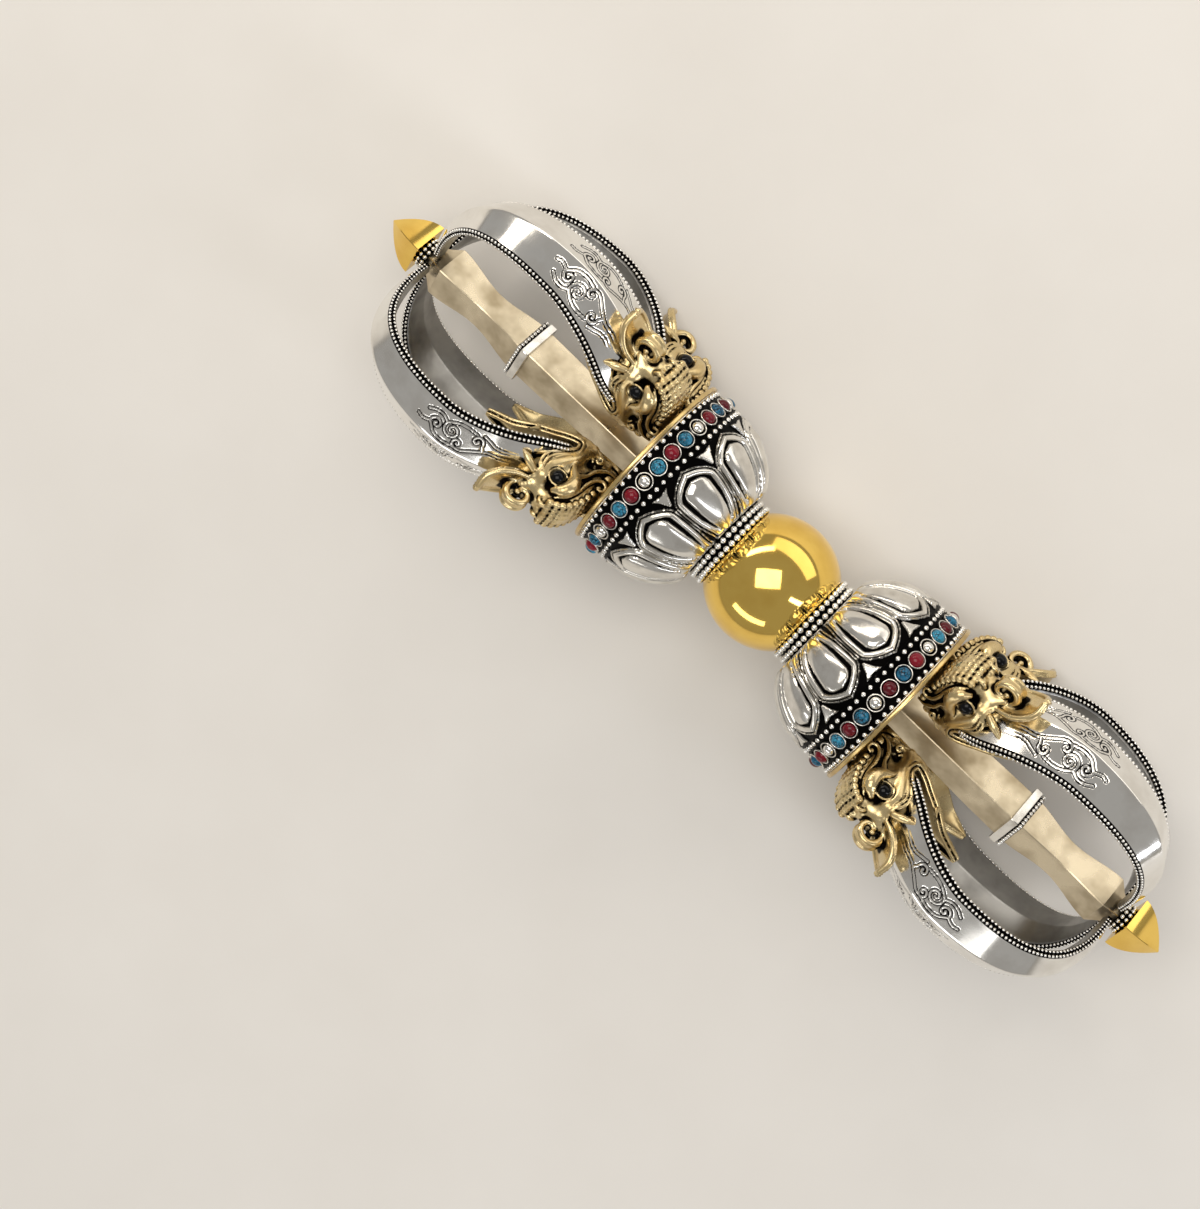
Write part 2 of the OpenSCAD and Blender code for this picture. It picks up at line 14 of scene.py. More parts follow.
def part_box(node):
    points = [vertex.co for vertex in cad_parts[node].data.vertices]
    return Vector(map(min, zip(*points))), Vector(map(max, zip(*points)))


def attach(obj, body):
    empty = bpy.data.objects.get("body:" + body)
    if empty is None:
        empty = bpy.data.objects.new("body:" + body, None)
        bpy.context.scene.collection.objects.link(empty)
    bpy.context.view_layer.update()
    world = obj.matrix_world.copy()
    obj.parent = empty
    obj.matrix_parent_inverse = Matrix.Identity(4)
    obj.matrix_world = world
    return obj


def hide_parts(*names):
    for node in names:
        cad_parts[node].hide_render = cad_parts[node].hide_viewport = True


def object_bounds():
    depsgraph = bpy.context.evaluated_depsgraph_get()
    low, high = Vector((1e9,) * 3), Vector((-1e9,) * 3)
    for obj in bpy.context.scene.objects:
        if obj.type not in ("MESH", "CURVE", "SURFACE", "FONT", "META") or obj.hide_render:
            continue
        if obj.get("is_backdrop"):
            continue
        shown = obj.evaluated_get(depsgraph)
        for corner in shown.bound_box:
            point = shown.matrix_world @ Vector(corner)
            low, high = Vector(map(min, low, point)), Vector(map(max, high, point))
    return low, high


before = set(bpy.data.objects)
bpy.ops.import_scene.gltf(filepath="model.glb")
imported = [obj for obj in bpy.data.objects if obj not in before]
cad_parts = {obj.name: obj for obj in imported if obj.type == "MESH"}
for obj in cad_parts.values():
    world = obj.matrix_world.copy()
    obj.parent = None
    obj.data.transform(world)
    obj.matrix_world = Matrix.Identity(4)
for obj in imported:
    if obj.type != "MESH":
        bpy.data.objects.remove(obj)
first_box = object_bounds()
MM = 0.001
ENDS = ("left", "right")
# Where the prongs and heads stand round the axis, in degrees
TURNS = (45, 135, 225, 315)
print(len(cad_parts), "CAD nodes, box", [round(x / MM, 1) for x in first_box[1] - first_box[0]], "mm")

# %% [markdown]
# ## Sizes
# Both ends of a dorje follow one pattern. Each could be modelled where it lies, but every size would then
# be written twice. So a piece is drawn once in a local frame, with z along the axis, and then laid to the
# left and to the right. Stations along the axis are read from the frame, in millimetres from the middle of
# the ball.

# %% Stations and the local frame
def reach(node, axis=0):
    """Lowest and highest place of a node along an axis, in millimetres."""
    low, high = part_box(node)
    return low[axis] / MM, high[axis] / MM


AXIS_H = sum(reach("hub_ball", 2)) / 2
Z_COLLAR, Z_CUP = reach("bead_collar_right")
Z_BAND = reach("lotus_cup_right")[1]
Z_PLATE, Z_ROOT = reach("end_plate_right")
Z_TIP, Z_FINIAL = reach("tip_collar_right")
Z_POINT = reach("finial_right")[1]
HUB_R = (reach("hub_ball", 1)[1] - reach("hub_ball", 1)[0]) / 2
PLATE_R = reach("end_plate_right", 1)[1]
# The plate stands out past the band by its lip, and the pegs of the heads stand in from its edge
PLATE_LIP, PEG_INSET = 0.7, 6.8
RIM_R = PLATE_R - PLATE_LIP
HEAD_R = PLATE_R - PEG_INSET
print("stations", [round(z, 2) for z in (Z_COLLAR, Z_CUP, Z_BAND, Z_PLATE, Z_ROOT, Z_TIP, Z_FINIAL, Z_POINT)])


def spin(points, degrees):
    """Turns local points about the axis."""
    c, s = math.cos(math.radians(degrees)), math.sin(math.radians(degrees))
    p = np.asarray(points, float)
    return np.stack([c * p[:, 0] - s * p[:, 1], s * p[:, 0] + c * p[:, 1], p[:, 2]], 1)


def lay(points, end):
    """Local millimetres to the row frame in metres."""
    p = np.asarray(points, float)
    side = 1 if end == "right" else -1
    return np.stack([side * p[:, 2], p[:, 1], AXIS_H - side * p[:, 0]], 1) * MM


def lay_aims(aims, end):
    """Local directions to the row frame."""
    return lay(aims, end) / MM - np.array([0, 0, AXIS_H])


# %% [markdown]
# ## Mesh helpers
# Old silver turns black, and rubbing brightens only what a cloth can reach. A shader could guess the
# recesses from the finished mesh. Here the maker says where they are, because the black then ends where the
# chasing does: a piece is a list of points, a list of faces and a number at each point for patina and painted
# shade, which is 0 where polishing keeps the metal bright and 1 where it stays black. On the heads, the
# plates and the sides of the prongs that number also holds painted shade.

# %% Mesh helpers
def new_mesh(name, points, faces, patina_and_shade, sharp):
    """Smooth mesh with its patina and painted shade, and with hard edges where faces meet at more than sharp
    degrees.
    """
    mesh = bpy.data.meshes.new(name)
    mesh.from_pydata([tuple(p) for p in points], [], [tuple(f) for f in faces])
    values = np.zeros(len(points), np.float32) if patina_and_shade is None else np.asarray(patina_and_shade, np.float32)
    mesh.attributes.new("patina_and_shade", "FLOAT", "POINT").data.foreach_set("value", values)
    mesh.shade_smooth()
    if sharp:
        mesh.set_sharp_from_angle(angle=math.radians(sharp))
    return mesh


def show(name, data):
    made = bpy.data.objects.new(name, data)
    bpy.context.scene.collection.objects.link(made)
    return made


def settle(made, nodes):
    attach(made, "root")
    if nodes:
        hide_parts(*nodes)
    return made


def piece(name, points, faces, materials, patina_and_shade=None, face_material=None, sharp=40, nodes=()):
    mesh = new_mesh(name, points, faces, patina_and_shade, sharp)
    for finish in materials:
        mesh.materials.append(finish)
    if face_material is not None:
        mesh.polygons.foreach_set("material_index", np.asarray(face_material, np.int32))
    mesh.update()
    return settle(show(name, mesh), nodes)


def lathe(profile, segments, loop=False):
    """Turns a profile of (radius, z, patina and painted shade) about the axis. Radius 0 closes to a pole,
    loop makes a ring.
    """
    points, patina_and_shade, rings, faces = [], [], [], []
    for r, z, dark in profile:
        if r < 1e-6:
            rings.append([len(points)])
            points.append((0, 0, z))
            patina_and_shade.append(dark)
            continue
        rings.append(list(range(len(points), len(points) + segments)))
        for i in range(segments):
            a = 2 * math.pi * i / segments
            points.append((r * math.cos(a), r * math.sin(a), z))
            patina_and_shade.append(dark)
    for low, high in zip(rings, rings[1:] + rings[:1] if loop else rings[1:]):
        for j in range(segments):
            k = (j + 1) % segments
            if len(low) == 1:
                faces.append((low[0], high[k], high[j]))
            elif len(high) == 1:
                faces.append((low[j], low[k], high[0]))
            else:
                faces.append((low[j], low[k], high[k], high[j]))
    return np.array(points), faces, np.array(patina_and_shade)


def loft(rings, centres=None):
    """Quads over rings that run anticlockwise about the way ahead, with a fan to a centre at both ends."""
    rings = np.asarray(rings)
    rows, columns = rings.shape[:2]
    if centres is None:
        centres = [rings[0].mean(0), rings[-1].mean(0)]
    ahead = [(j, (j + 1) % columns) for j in range(columns)]
    faces = []
    for low in range(0, (rows - 1) * columns, columns):
        high = low + columns
        faces += [(low + j, low + k, high + k, high + j) for j, k in ahead]
    first, top = rows * columns, (rows - 1) * columns
    for j, k in ahead:
        faces += [(first, k, j), (first + 1, top + j, top + k)]
    return np.vstack([rings.reshape(-1, 3), centres]), faces


def arc(centre, radius, start, stop, steps, dark=0.0):
    """Profile points on a circle, for rounded rims."""
    angles = np.radians(np.linspace(start, stop, steps))
    return [(centre[0] + radius * math.cos(a), centre[1] + radius * math.sin(a), dark) for a in angles]


def ease(x):
    x = np.clip(x, 0, 1)
    return x * x * (3 - 2 * x)


def bezier(p, t):
    p, t = np.asarray(p, float), np.asarray(t, float)[:, None]
    return (1 - t) ** 3 * p[0] + 3 * t * (1 - t) ** 2 * p[1] + 3 * t * t * (1 - t) * p[2] + t ** 3 * p[3]


def spline(points, count):
    """Smooth curve through points, at even steps of its own parameter."""
    p = np.asarray(points, float)
    p = np.vstack([2 * p[0] - p[1], p, 2 * p[-1] - p[-2]])
    out = []
    for x in np.linspace(0, len(p) - 3, count):
        i = min(int(x), len(p) - 4)
        t = x - i
        a, b, c, d = p[i:i + 4]
        bend, twist = 2 * a - 5 * b + 4 * c - d, 3 * b - a - 3 * c + d
        out.append(0.5 * (2 * b + (c - a) * t + bend * t ** 2 + twist * t ** 3))
    return np.array(out)


def path_length(path):
    """Length along a path, at each of its points."""
    return np.concatenate([[0], np.cumsum(np.linalg.norm(np.diff(path, axis=0), axis=1))])


# %% [markdown]
# ## Finishes
# Silver, brass and gilding differ in tone and in polish. An image could be painted for each piece, but a
# short node tree suits them all and has no seams: every metal has a bright tone, a worn tone that drifts
# over it in patches, and a dark tone that its number for patina and painted shade brings in. Colours are
# written as sRGB hex and turned to linear light by one function.

# %% Material helpers
def linear(hex_colour):
    parts = [int(hex_colour[i:i + 2], 16) / 255 for i in (1, 3, 5)]
    return [c / 12.92 if c <= 0.04045 else ((c + 0.055) / 1.055) ** 2.4 for c in parts] + [1]


def add(tree, kind, links=(), **settings):
    """Adds a node; links and values go to its inputs by name or number, other words are its settings."""
    made = tree.nodes.new(kind)
    for key, value in settings.items():
        setattr(made, key, value)
    for key, value in dict(links).items():
        if isinstance(value, bpy.types.NodeSocket):
            tree.links.new(value, made.inputs[key])
        else:
            made.inputs[key].default_value = value
    return made


def fresh(name):
    made = bpy.data.materials.new(name)
    made.use_nodes = True
    tree = made.node_tree
    tree.nodes.clear()
    shader = add(tree, "ShaderNodeBsdfPrincipled")
    add(tree, "ShaderNodeOutputMaterial", {"Surface": shader.outputs[0]})
    place = add(tree, "ShaderNodeTexCoord").outputs["Object"]
    return made, tree, shader, place


# Marks of hand polishing are finer than this; they are drawn as coarse as they need to be to show
GRAIN_MM = 0.6
# A soft and a crisp noise
SOFT, CRISP = {"Detail": 3.0, "Roughness": 0.55}, {"Detail": 4.0, "Roughness": 0.55}


def metal(name, bright, worn, dark, rough, dark_rough=0.55, patch_mm=6.0, wear=0.5, dents=0.02):
    made, tree, shader, place = fresh(name)
    wide = {"Vector": place, "Scale": 1 / (patch_mm * MM), **SOFT}
    patches = add(tree, "ShaderNodeTexNoise", wide).outputs[0]
    grain = {"Vector": place, "Scale": 1 / (GRAIN_MM * MM), **CRISP}
    fine = add(tree, "ShaderNodeTexNoise", grain).outputs[0]
    drift = add(tree, "ShaderNodeMapRange", {0: patches, 1: 0.42, 2: 0.72, 3: 0.0, 4: wear}).outputs[0]
    clean = {0: drift, 6: linear(bright), 7: linear(worn)}
    tone = add(tree, "ShaderNodeMix", clean, data_type="RGBA").outputs[2]
    ragged = add(tree, "ShaderNodeMapRange", {0: fine, 1: 0.3, 2: 0.7, 3: -0.12, 4: 0.12}).outputs[0]
    # The dark tone follows the number for patina, which on the heads, plate faces and prong sides is partly
    # or wholly painted shade
    patina_and_shade = add(tree, "ShaderNodeAttribute", attribute_name="patina_and_shade").outputs["Fac"]
    broken = add(tree, "ShaderNodeMath", {0: ragged, 1: patina_and_shade}, operation="ADD").outputs[0]
    black = add(tree, "ShaderNodeMapRange", {0: broken, 1: 0.22, 2: 0.72}).outputs[0]
    colour = add(tree, "ShaderNodeMix", {0: black, 6: tone, 7: linear(dark)}, data_type="RGBA").outputs[2]
    tree.links.new(colour, shader.inputs["Base Color"])
    shader.inputs["Metallic"].default_value = 1.0
    sheen = {0: patches, 1: 0.35, 2: 0.75, 3: rough[0], 4: rough[1]}
    polish = add(tree, "ShaderNodeMapRange", sheen).outputs[0]
    dull = add(tree, "ShaderNodeMix", {0: black, 2: polish, 3: dark_rough})
    tree.links.new(dull.outputs[0], shader.inputs["Roughness"])
    bump = add(tree, "ShaderNodeBump", {"Strength": 0.25, "Distance": dents * MM, "Height": fine})
    tree.links.new(bump.outputs[0], shader.inputs["Normal"])
    return made


# %% Metals
# Mirror gold of the ball and the points: clear and warm, with the softest of hand-rubbed blur
GOLD = metal("polished_gilt_brass", "#F6D06C", "#DEB04C", "#3A240C", (0.06, 0.14), patch_mm=9, wear=0.6,
             dents=0.006)
# Antique brass of the heads: bright where thumbs rub it, brown-black in every fold from tarnish and painted
# shade
BRASS = metal("antique_brass", "#DFCA9A", "#B8975C", "#120B06", (0.24, 0.36), 0.6, patch_mm=4, wear=0.6,
              dents=0.006)
# Plain brass of the end plates, with a faint satin; its dark tone is tarnish and painted shade
PLATE = metal("satin_brass", "#D9BE83", "#AA8A52", "#1A120A", (0.2, 0.36), patch_mm=5, wear=0.7)
# Mirror silver of studs, beads and the outer faces of the prongs
SILVER = metal("polished_silver", "#F0EEE9", "#CFCAC1", "#0B0A0A", (0.07, 0.18), 0.5, patch_mm=7, wear=0.6,
               dents=0.008)
# Chased silver of cups, bands, knops and bezels: bright on the ridges and black in the chasing
CHASED = metal("chased_silver", "#E6E3DC", "#B2ACA2", "#090808", (0.13, 0.28), patch_mm=4, wear=0.6,
               dents=0.015)
# Satin silver of the inner faces of the prongs, brushed grey and cloudy
SATIN = metal("satin_silver", "#AAA8A4", "#74726F", "#0D0C0C", (0.3, 0.45), patch_mm=8, wear=0.8)
# Champagne silver of the spikes, with blotches of old tarnish
CHAMPAGNE = metal("tarnished_champagne_silver", "#DACCB0", "#9C8B6D", "#17130F", (0.24, 0.38), 0.6,
                  patch_mm=8, wear=0.8)
# Oxidised silver: the black ground behind beads; in the side grooves of the prongs it is painted shade
BLACK = metal("oxidised_silver", "#1E1C1B", "#100F0F", "#060606", (0.4, 0.55), 0.6, patch_mm=2, wear=0.6)
# Bright drawn steel of the hidden rod
STEEL = metal("drawn_steel", "#A8A8A6", "#7E7E7C", "#151515", (0.3, 0.4))
print(len(bpy.data.materials), "materials so far")


# %% Stones
CLOUD_MM, VEIN_MM, VEINED_MM = 0.9, 0.5, 1.1
# Moves the veins off the grid of the clouds
VEIN_SHIFT = (0.9 * MM, 0.4 * MM, 0.6 * MM)


def stone(name, tones, vein=None, rough=0.08, gloss=0.35):
    made, tree, shader, place = fresh(name)
    clouds = {"Vector": place, "Scale": 1 / (CLOUD_MM * MM), **CRISP}
    cloud = add(tree, "ShaderNodeTexNoise", clouds).outputs[0]
    drift = add(tree, "ShaderNodeMapRange", {0: cloud, 1: 0.3, 2: 0.7, 3: -0.35, 4: 0.35}).outputs[0]
    own_tone = add(tree, "ShaderNodeAttribute", attribute_name="tone").outputs["Fac"]
    both = add(tree, "ShaderNodeMath", {0: drift, 1: own_tone}, operation="ADD").outputs[0]
    share = add(tree, "ShaderNodeMapRange", {0: both, 1: 0.1, 2: 0.9}).outputs[0]
    body = {0: share, 6: linear(tones[0]), 7: linear(tones[1])}
    colour = add(tree, "ShaderNodeMix", body, data_type="RGBA").outputs[2]
    if vein:
        moved = add(tree, "ShaderNodeVectorMath", {0: place, 1: VEIN_SHIFT}, operation="ADD").outputs[0]
        cells = {"Vector": moved, "Scale": 1 / (VEIN_MM * MM)}
        crack = add(tree, "ShaderNodeTexVoronoi", cells, feature="DISTANCE_TO_EDGE").outputs[0]
        line = add(tree, "ShaderNodeMapRange", {0: crack, 1: 0.04, 2: 0.22, 3: 1.0, 4: 0.0}).outputs[0]
        spots = {"Vector": place, "Scale": 1 / (VEINED_MM * MM), **SOFT}
        veined = add(tree, "ShaderNodeTexNoise", spots).outputs[0]
        spread = add(tree, "ShaderNodeMapRange", {0: veined, 1: 0.38, 2: 0.56}).outputs[0]
        matrix = add(tree, "ShaderNodeMath", {0: line, 1: spread}, operation="MULTIPLY").outputs[0]
        crossed = {0: matrix, 6: colour, 7: linear(vein)}
        colour = add(tree, "ShaderNodeMix", crossed, data_type="RGBA").outputs[2]
    tree.links.new(colour, shader.inputs["Base Color"])
    shader.inputs["Roughness"].default_value = rough
    shader.inputs["Specular IOR Level"].default_value = gloss
    return made


# Turquoise: sky to teal blue, crossed by a dark matrix
TURQUOISE = stone("veined_turquoise", ("#185F82", "#3591B2"), "#0C171D")
# Coral red, deep and glassy like the stones in old settings
CORAL = stone("red_coral", ("#500512", "#7C0C20"), rough=0.06)
# Onyx of the eyes: black, with a hint of blue in its gloss
ONYX = stone("black_onyx", ("#030304", "#090A0C"), rough=0.04, gloss=0.2)
print("stones", [finish.name for finish in (TURQUOISE, CORAL, ONYX)])

# %% [markdown]
# ## Things that repeat
# Granules are small balls of silver, soldered down in rows. A loop could copy a ball to each place, but
# Geometry Nodes take one shape and a set of points, so a whole row is changed in one place. One tree sets
# the beads, the bezels and the stones. A point carries the way its copy faces and its size; a seed spreads
# the sizes a little, as hand-made granules are.

# %% One tree that sets a shape on points
def setting_tree():
    tree = bpy.data.node_groups.new("Set on points", "GeometryNodeTree")
    ids = {}
    for name, kind in (("Points", "Geometry"), ("Shape", "Object"), ("Size spread", "Float"), ("Seed", "Int"),
                       ("Finish", "Material")):
        socket = tree.interface.new_socket(name, in_out="INPUT", socket_type="NodeSocket" + kind)
        ids[name] = socket.identifier
    tree.interface.new_socket("Geometry", in_out="OUTPUT", socket_type="NodeSocketGeometry")
    given = add(tree, "NodeGroupInput").outputs
    seed = given["Seed"]
    aim = add(tree, "GeometryNodeInputNamedAttribute", {"Name": "aim"}, data_type="FLOAT_VECTOR").outputs[0]
    size = add(tree, "GeometryNodeInputNamedAttribute", {"Name": "size"}, data_type="FLOAT").outputs[0]
    around_one = {0: 1.0, 1: given["Size spread"]}
    low = add(tree, "ShaderNodeMath", around_one, operation="SUBTRACT").outputs[0]
    high = add(tree, "ShaderNodeMath", around_one, operation="ADD").outputs[0]
    spread = add(tree, "FunctionNodeRandomValue", {2: low, 3: high, 8: seed}, data_type="FLOAT").outputs[1]
    scale = add(tree, "ShaderNodeMath", {0: size, 1: spread}, operation="MULTIPLY").outputs[0]
    turn = add(tree, "FunctionNodeAlignRotationToVector", {"Vector": aim}, axis="Z").outputs[0]
    shape = add(tree, "GeometryNodeObjectInfo", {"Object": given["Shape"]}).outputs["Geometry"]
    copy_on = {"Points": given["Points"], "Instance": shape, "Rotation": turn, "Scale": scale}
    copies = add(tree, "GeometryNodeInstanceOnPoints", copy_on).outputs[0]
    tone = add(tree, "FunctionNodeRandomValue", {8: seed}, data_type="FLOAT").outputs[1]
    toned = add(tree, "GeometryNodeStoreNamedAttribute", {"Geometry": copies, "Name": "tone"},
                data_type="FLOAT", domain="INSTANCE")
    tree.links.new(tone, toned.inputs["Value"])
    real = add(tree, "GeometryNodeRealizeInstances", {"Geometry": toned.outputs[0]}).outputs[0]
    done = add(tree, "GeometryNodeSetMaterial", {"Geometry": real, "Material": given["Finish"]}).outputs[0]
    add(tree, "NodeGroupOutput", {0: done})
    return tree, ids


SETTING, SETTING_IDS = setting_tree()


def shape_object(name, points, faces, patina_and_shade):
    return show(name, new_mesh(name, points, faces, patina_and_shade, sharp=50))


def set_on(name, shape, finish, places, aims, sizes, seed, spread=0.0, nodes=()):
    """Sets a shape on places (in the row frame, metres) and keeps the result as one plain mesh."""
    mesh = bpy.data.meshes.new(name)
    mesh.from_pydata([tuple(p) for p in places], [], [])
    ways = np.asarray(aims, np.float32).ravel()
    mesh.attributes.new("aim", "FLOAT_VECTOR", "POINT").data.foreach_set("vector", ways)
    mesh.attributes.new("size", "FLOAT", "POINT").data.foreach_set("value", np.asarray(sizes, np.float32))
    made = show(name, mesh)
    modifier = made.modifiers.new("Set on points", "NODES")
    modifier.node_group = SETTING
    for key, value in (("Shape", shape), ("Size spread", spread), ("Seed", seed), ("Finish", finish)):
        modifier[SETTING_IDS[key]] = value
    graph = bpy.context.evaluated_depsgraph_get()
    copied = made.evaluated_get(graph)
    real = bpy.data.meshes.new_from_object(copied, preserve_all_data_layers=True, depsgraph=graph)
    made.modifiers.clear()
    made.data = real
    real.name = name
    bpy.data.meshes.remove(mesh)
    return settle(made, nodes)


def ball(rings, around):
    """A ball of unit diameter."""
    angles = [math.pi * i / rings for i in range(rings + 1)]
    return lathe([(0.5 * math.sin(a), -0.5 * math.cos(a), 0) for a in angles], around)


BEAD = shape_object("bead_shape", *ball(5, 9))
FINE_BEAD = shape_object("fine_bead_shape", *ball(4, 7))
EYE = shape_object("eye_shape", *ball(14, 24))
print("bead faces", len(BEAD.data.polygons), "and", len(FINE_BEAD.data.polygons))


def ring_row(radius, z, count, phase=0.0):
    """Places and outward directions of a row round the axis, in the local frame."""
    a = 2 * np.pi * (np.arange(count) + phase) / count
    out = np.stack([np.cos(a), np.sin(a), np.zeros(count)], 1)
    return out * radius + np.array([0, 0, z]), out


def one_aim(places):
    """The same aim for every bead of a row, since a ball has no front."""
    return np.tile((0.0, 0.0, 1.0), (len(places), 1))


def granules(name, end, rows, seed, nodes=()):
    """Silver beads in rows of (diameter, radius, z, count, phase)."""
    places, aims, sizes = [], [], []
    for diameter, radius, z, count, phase in rows:
        at, out = ring_row(radius, z, count, phase)
        places.append(lay(at, end))
        aims.append(lay_aims(out, end))
        sizes += [diameter * MM] * count
    return set_on(name, BEAD, SILVER, np.vstack(places), np.vstack(aims), sizes, seed, 0.05, nodes)


# %% [markdown]
# ## Turned pieces
# The ball, the collars, the bands and the plates are turned on the axis, with small rounded rims that catch
# the light. A Screw modifier could spin their profiles, but it would have to be applied to each piece. The
# lathe function makes the mesh at once, closes its poles and carries the patina and painted shade of the
# profile, so that black ground shows between the granules.

# %% Ball, collars, bands and plates
# Radius of a ring of points on each flat of the ball, just outside the collar
FLAT_R = 9.6
flat_angle = math.degrees(math.asin(Z_COLLAR / HUB_R))
ball_profile = [(0, -Z_COLLAR, 0), (FLAT_R, -Z_COLLAR, 0)]
ball_profile += arc((0, 0), HUB_R, -flat_angle, flat_angle, 49)
ball_profile += [(FLAT_R, Z_COLLAR, 0), (0, Z_COLLAR, 0)]
points, faces, dark = lathe(ball_profile, 144)
piece("grip_ball", lay(points, "right"), faces, [GOLD], dark, nodes=["hub_ball"])
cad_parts["tie_rod"].data.materials.clear()
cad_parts["tie_rod"].data.materials.append(STEEL)


def turned(name, end, profile, finish, nodes, segments=128):
    """A turned piece, closed to the axis at both ends of its profile."""
    poles = [(0, z, dark) for _, z, dark in (profile[0], profile[-1])]
    points, faces, dark = lathe(poles[:1] + profile + poles[1:], segments)
    return piece(name, lay(points, end), faces, [finish], dark, nodes=nodes)


BEVEL_IN, BEVEL_UP = 0.3, 0.1


def ring_profile(radius, low, high, edge_dark):
    """A plain ring with bevelled edges and a black wall."""
    return [(radius - BEVEL_IN, low, edge_dark), (radius, low + BEVEL_UP, 1),
            (radius, high - BEVEL_UP, 1), (radius - BEVEL_IN, high, edge_dark)]


GEMS, COLLAR_R = 32, 9.45
COLLAR_BEAD, COLLAR_BEADS, COLLAR_ROW_R, COLLAR_ROW_IN = 1.5, 40, 9.75, 0.87
BAND_BEAD, BAND_ROW_IN = 1.2, 0.77
BAND_LINE_R, BAND_FLOOR_R = RIM_R - 0.05, RIM_R - 0.12
LOW_ROUND, HIGH_ROUND = 0.25, 0.3
collar = ring_profile(COLLAR_R, Z_COLLAR, Z_CUP, 0)
# The band: a dark line under the cup's edge, a black floor for the settings and a bright line at the plate
band = [(RIM_R - 2, Z_BAND - 0.2, 1), (BAND_LINE_R, Z_BAND - 0.2, 1)]
band += arc((BAND_LINE_R, Z_BAND + 0.02), 0.16, -90, 90, 7, 0.8)
band += [(BAND_FLOOR_R, Z_BAND + 0.3, 1), (BAND_FLOOR_R, Z_PLATE - 0.3, 1)]
band += arc((BAND_LINE_R, Z_PLATE - 0.16), 0.14, -90, 90, 7)
band += [(RIM_R - 1, Z_PLATE, 1)]
plate = [(0.5, Z_PLATE, 0)]
plate += arc((PLATE_R - LOW_ROUND, Z_PLATE + LOW_ROUND), LOW_ROUND, -90, 0, 5)
plate += arc((PLATE_R - HIGH_ROUND, Z_ROOT - HIGH_ROUND), HIGH_ROUND, 0, 90, 5)
# Inwards from the rim the face darkens under and between the heads: partly tarnish, partly painted shade
plate += [(PLATE_R - 0.9, Z_ROOT, 0.1), (PLATE_R - 1.6, Z_ROOT - 0.05, 0.5),
          (HEAD_R, Z_ROOT, 0.5), (0.5, Z_ROOT, 0.6)]
collar_rows = [(COLLAR_BEAD, COLLAR_ROW_R, z, COLLAR_BEADS, phase)
               for z, phase in ((Z_COLLAR + COLLAR_ROW_IN, 0.0), (Z_CUP - COLLAR_ROW_IN, 0.5))]
band_rows = [(BAND_BEAD, RIM_R, z, 2 * GEMS, 0.25) for z in (Z_BAND + BAND_ROW_IN, Z_PLATE - BAND_ROW_IN)]
for end in ENDS:
    turned("collar_" + end, end, collar, BLACK, ["bead_collar_" + end])
    turned("jewel_band_" + end, end, band, CHASED, ["gem_band_" + end])
    turned("plate_" + end, end, plate, PLATE, ["end_plate_" + end])
    granules("collar_granules_" + end, end, collar_rows, seed=3)
    granules("band_granules_" + end, end, band_rows, seed=4, nodes=["granules_" + end])
print("turned pieces done")

# %% [markdown]
# ## Stones in their bezels
# Thirty-two bezels stand round each band. A bezel is a small cup with a rounded lip. The stones follow a
# run of eight: silver ball, turquoise, coral, turquoise, silver ball, coral, turquoise, coral. They could
# be cut one by one, but a jeweller keeps to one size, so one bezel and one dome are turned and then set on
# points.

# %% Bezels, stones and studs
RUN = "STCTSCTC"
BEZEL_R, LIP_R, STONE_R, STUD_SHARE = 1.86, 0.13, 1.45, 0.86
BORE_R, BEZEL_FOOT, LIP_AT = STONE_R - 0.1, -0.6, 0.36
STONE_FOOT, GIRDLE, DOME_RISE = -0.5, 0.2, 1.15
bezel_profile = [(BORE_R, BEZEL_FOOT, 1), (BEZEL_R - 0.08, BEZEL_FOOT, 1),
                 (BEZEL_R, -0.1, 0.8), (BEZEL_R, 0.3, 0.2)]
bezel_profile += arc((BEZEL_R - LIP_R, LIP_AT), LIP_R, 0, 180, 7)
bezel_profile += [(BEZEL_R - 2.6 * LIP_R, 0.1, 1), (BORE_R, 0.05, 1)]
stone_profile = [(0, STONE_FOOT, 0), (STONE_R, STONE_FOOT, 0)]
for a in np.radians((0, 18, 36, 52, 66, 79)):
    stone_profile.append((STONE_R * math.cos(a), GIRDLE + DOME_RISE * math.sin(a), 0))
stone_profile.append((0, GIRDLE + DOME_RISE, 0))
BEZEL = shape_object("bezel_shape", *lathe(bezel_profile, 20, True))
DOME = shape_object("dome_shape", *lathe(stone_profile, 18))
SETTINGS = (("T", "turquoise", TURQUOISE, "turquoise", 1), ("C", "coral", CORAL, "coral", 1),
            ("S", "silver_studs", SILVER, "bright_silver", STUD_SHARE))
for end in ENDS:
    at, out = ring_row(RIM_R, (Z_BAND + Z_PLATE) / 2, GEMS)
    places, aims = lay(at, end), lay_aims(out, end)
    set_on("bezel_ring_" + end, BEZEL, CHASED, places, aims, [MM] * GEMS, seed=5, spread=0.02,
           nodes=["bezels_" + end])
    for kind, name, finish, slot, share in SETTINGS:
        pick = [i for i in range(GEMS) if RUN[i % len(RUN)] == kind]
        set_on(name + "_set_" + end, DOME, finish, places[pick], aims[pick], [MM * share] * len(pick),
               seed=7, spread=0.03, nodes=[name + "_" + end])
print(GEMS, "settings at each end")

# %% [markdown]
# ## Lotus cups
# A cup is a bell whose wall is chased with ten petals. A bump texture could show them, but it would leave
# the outline of the cup smooth. So the wall itself is raised. Each petal is measured from its outline
# inwards: an outer line, a groove, a broad rolled border, a deep black channel and a polished boss. The tip
# of a second row of petals shows in each gap under the band.

# %% Lotus cups
PETALS = 10
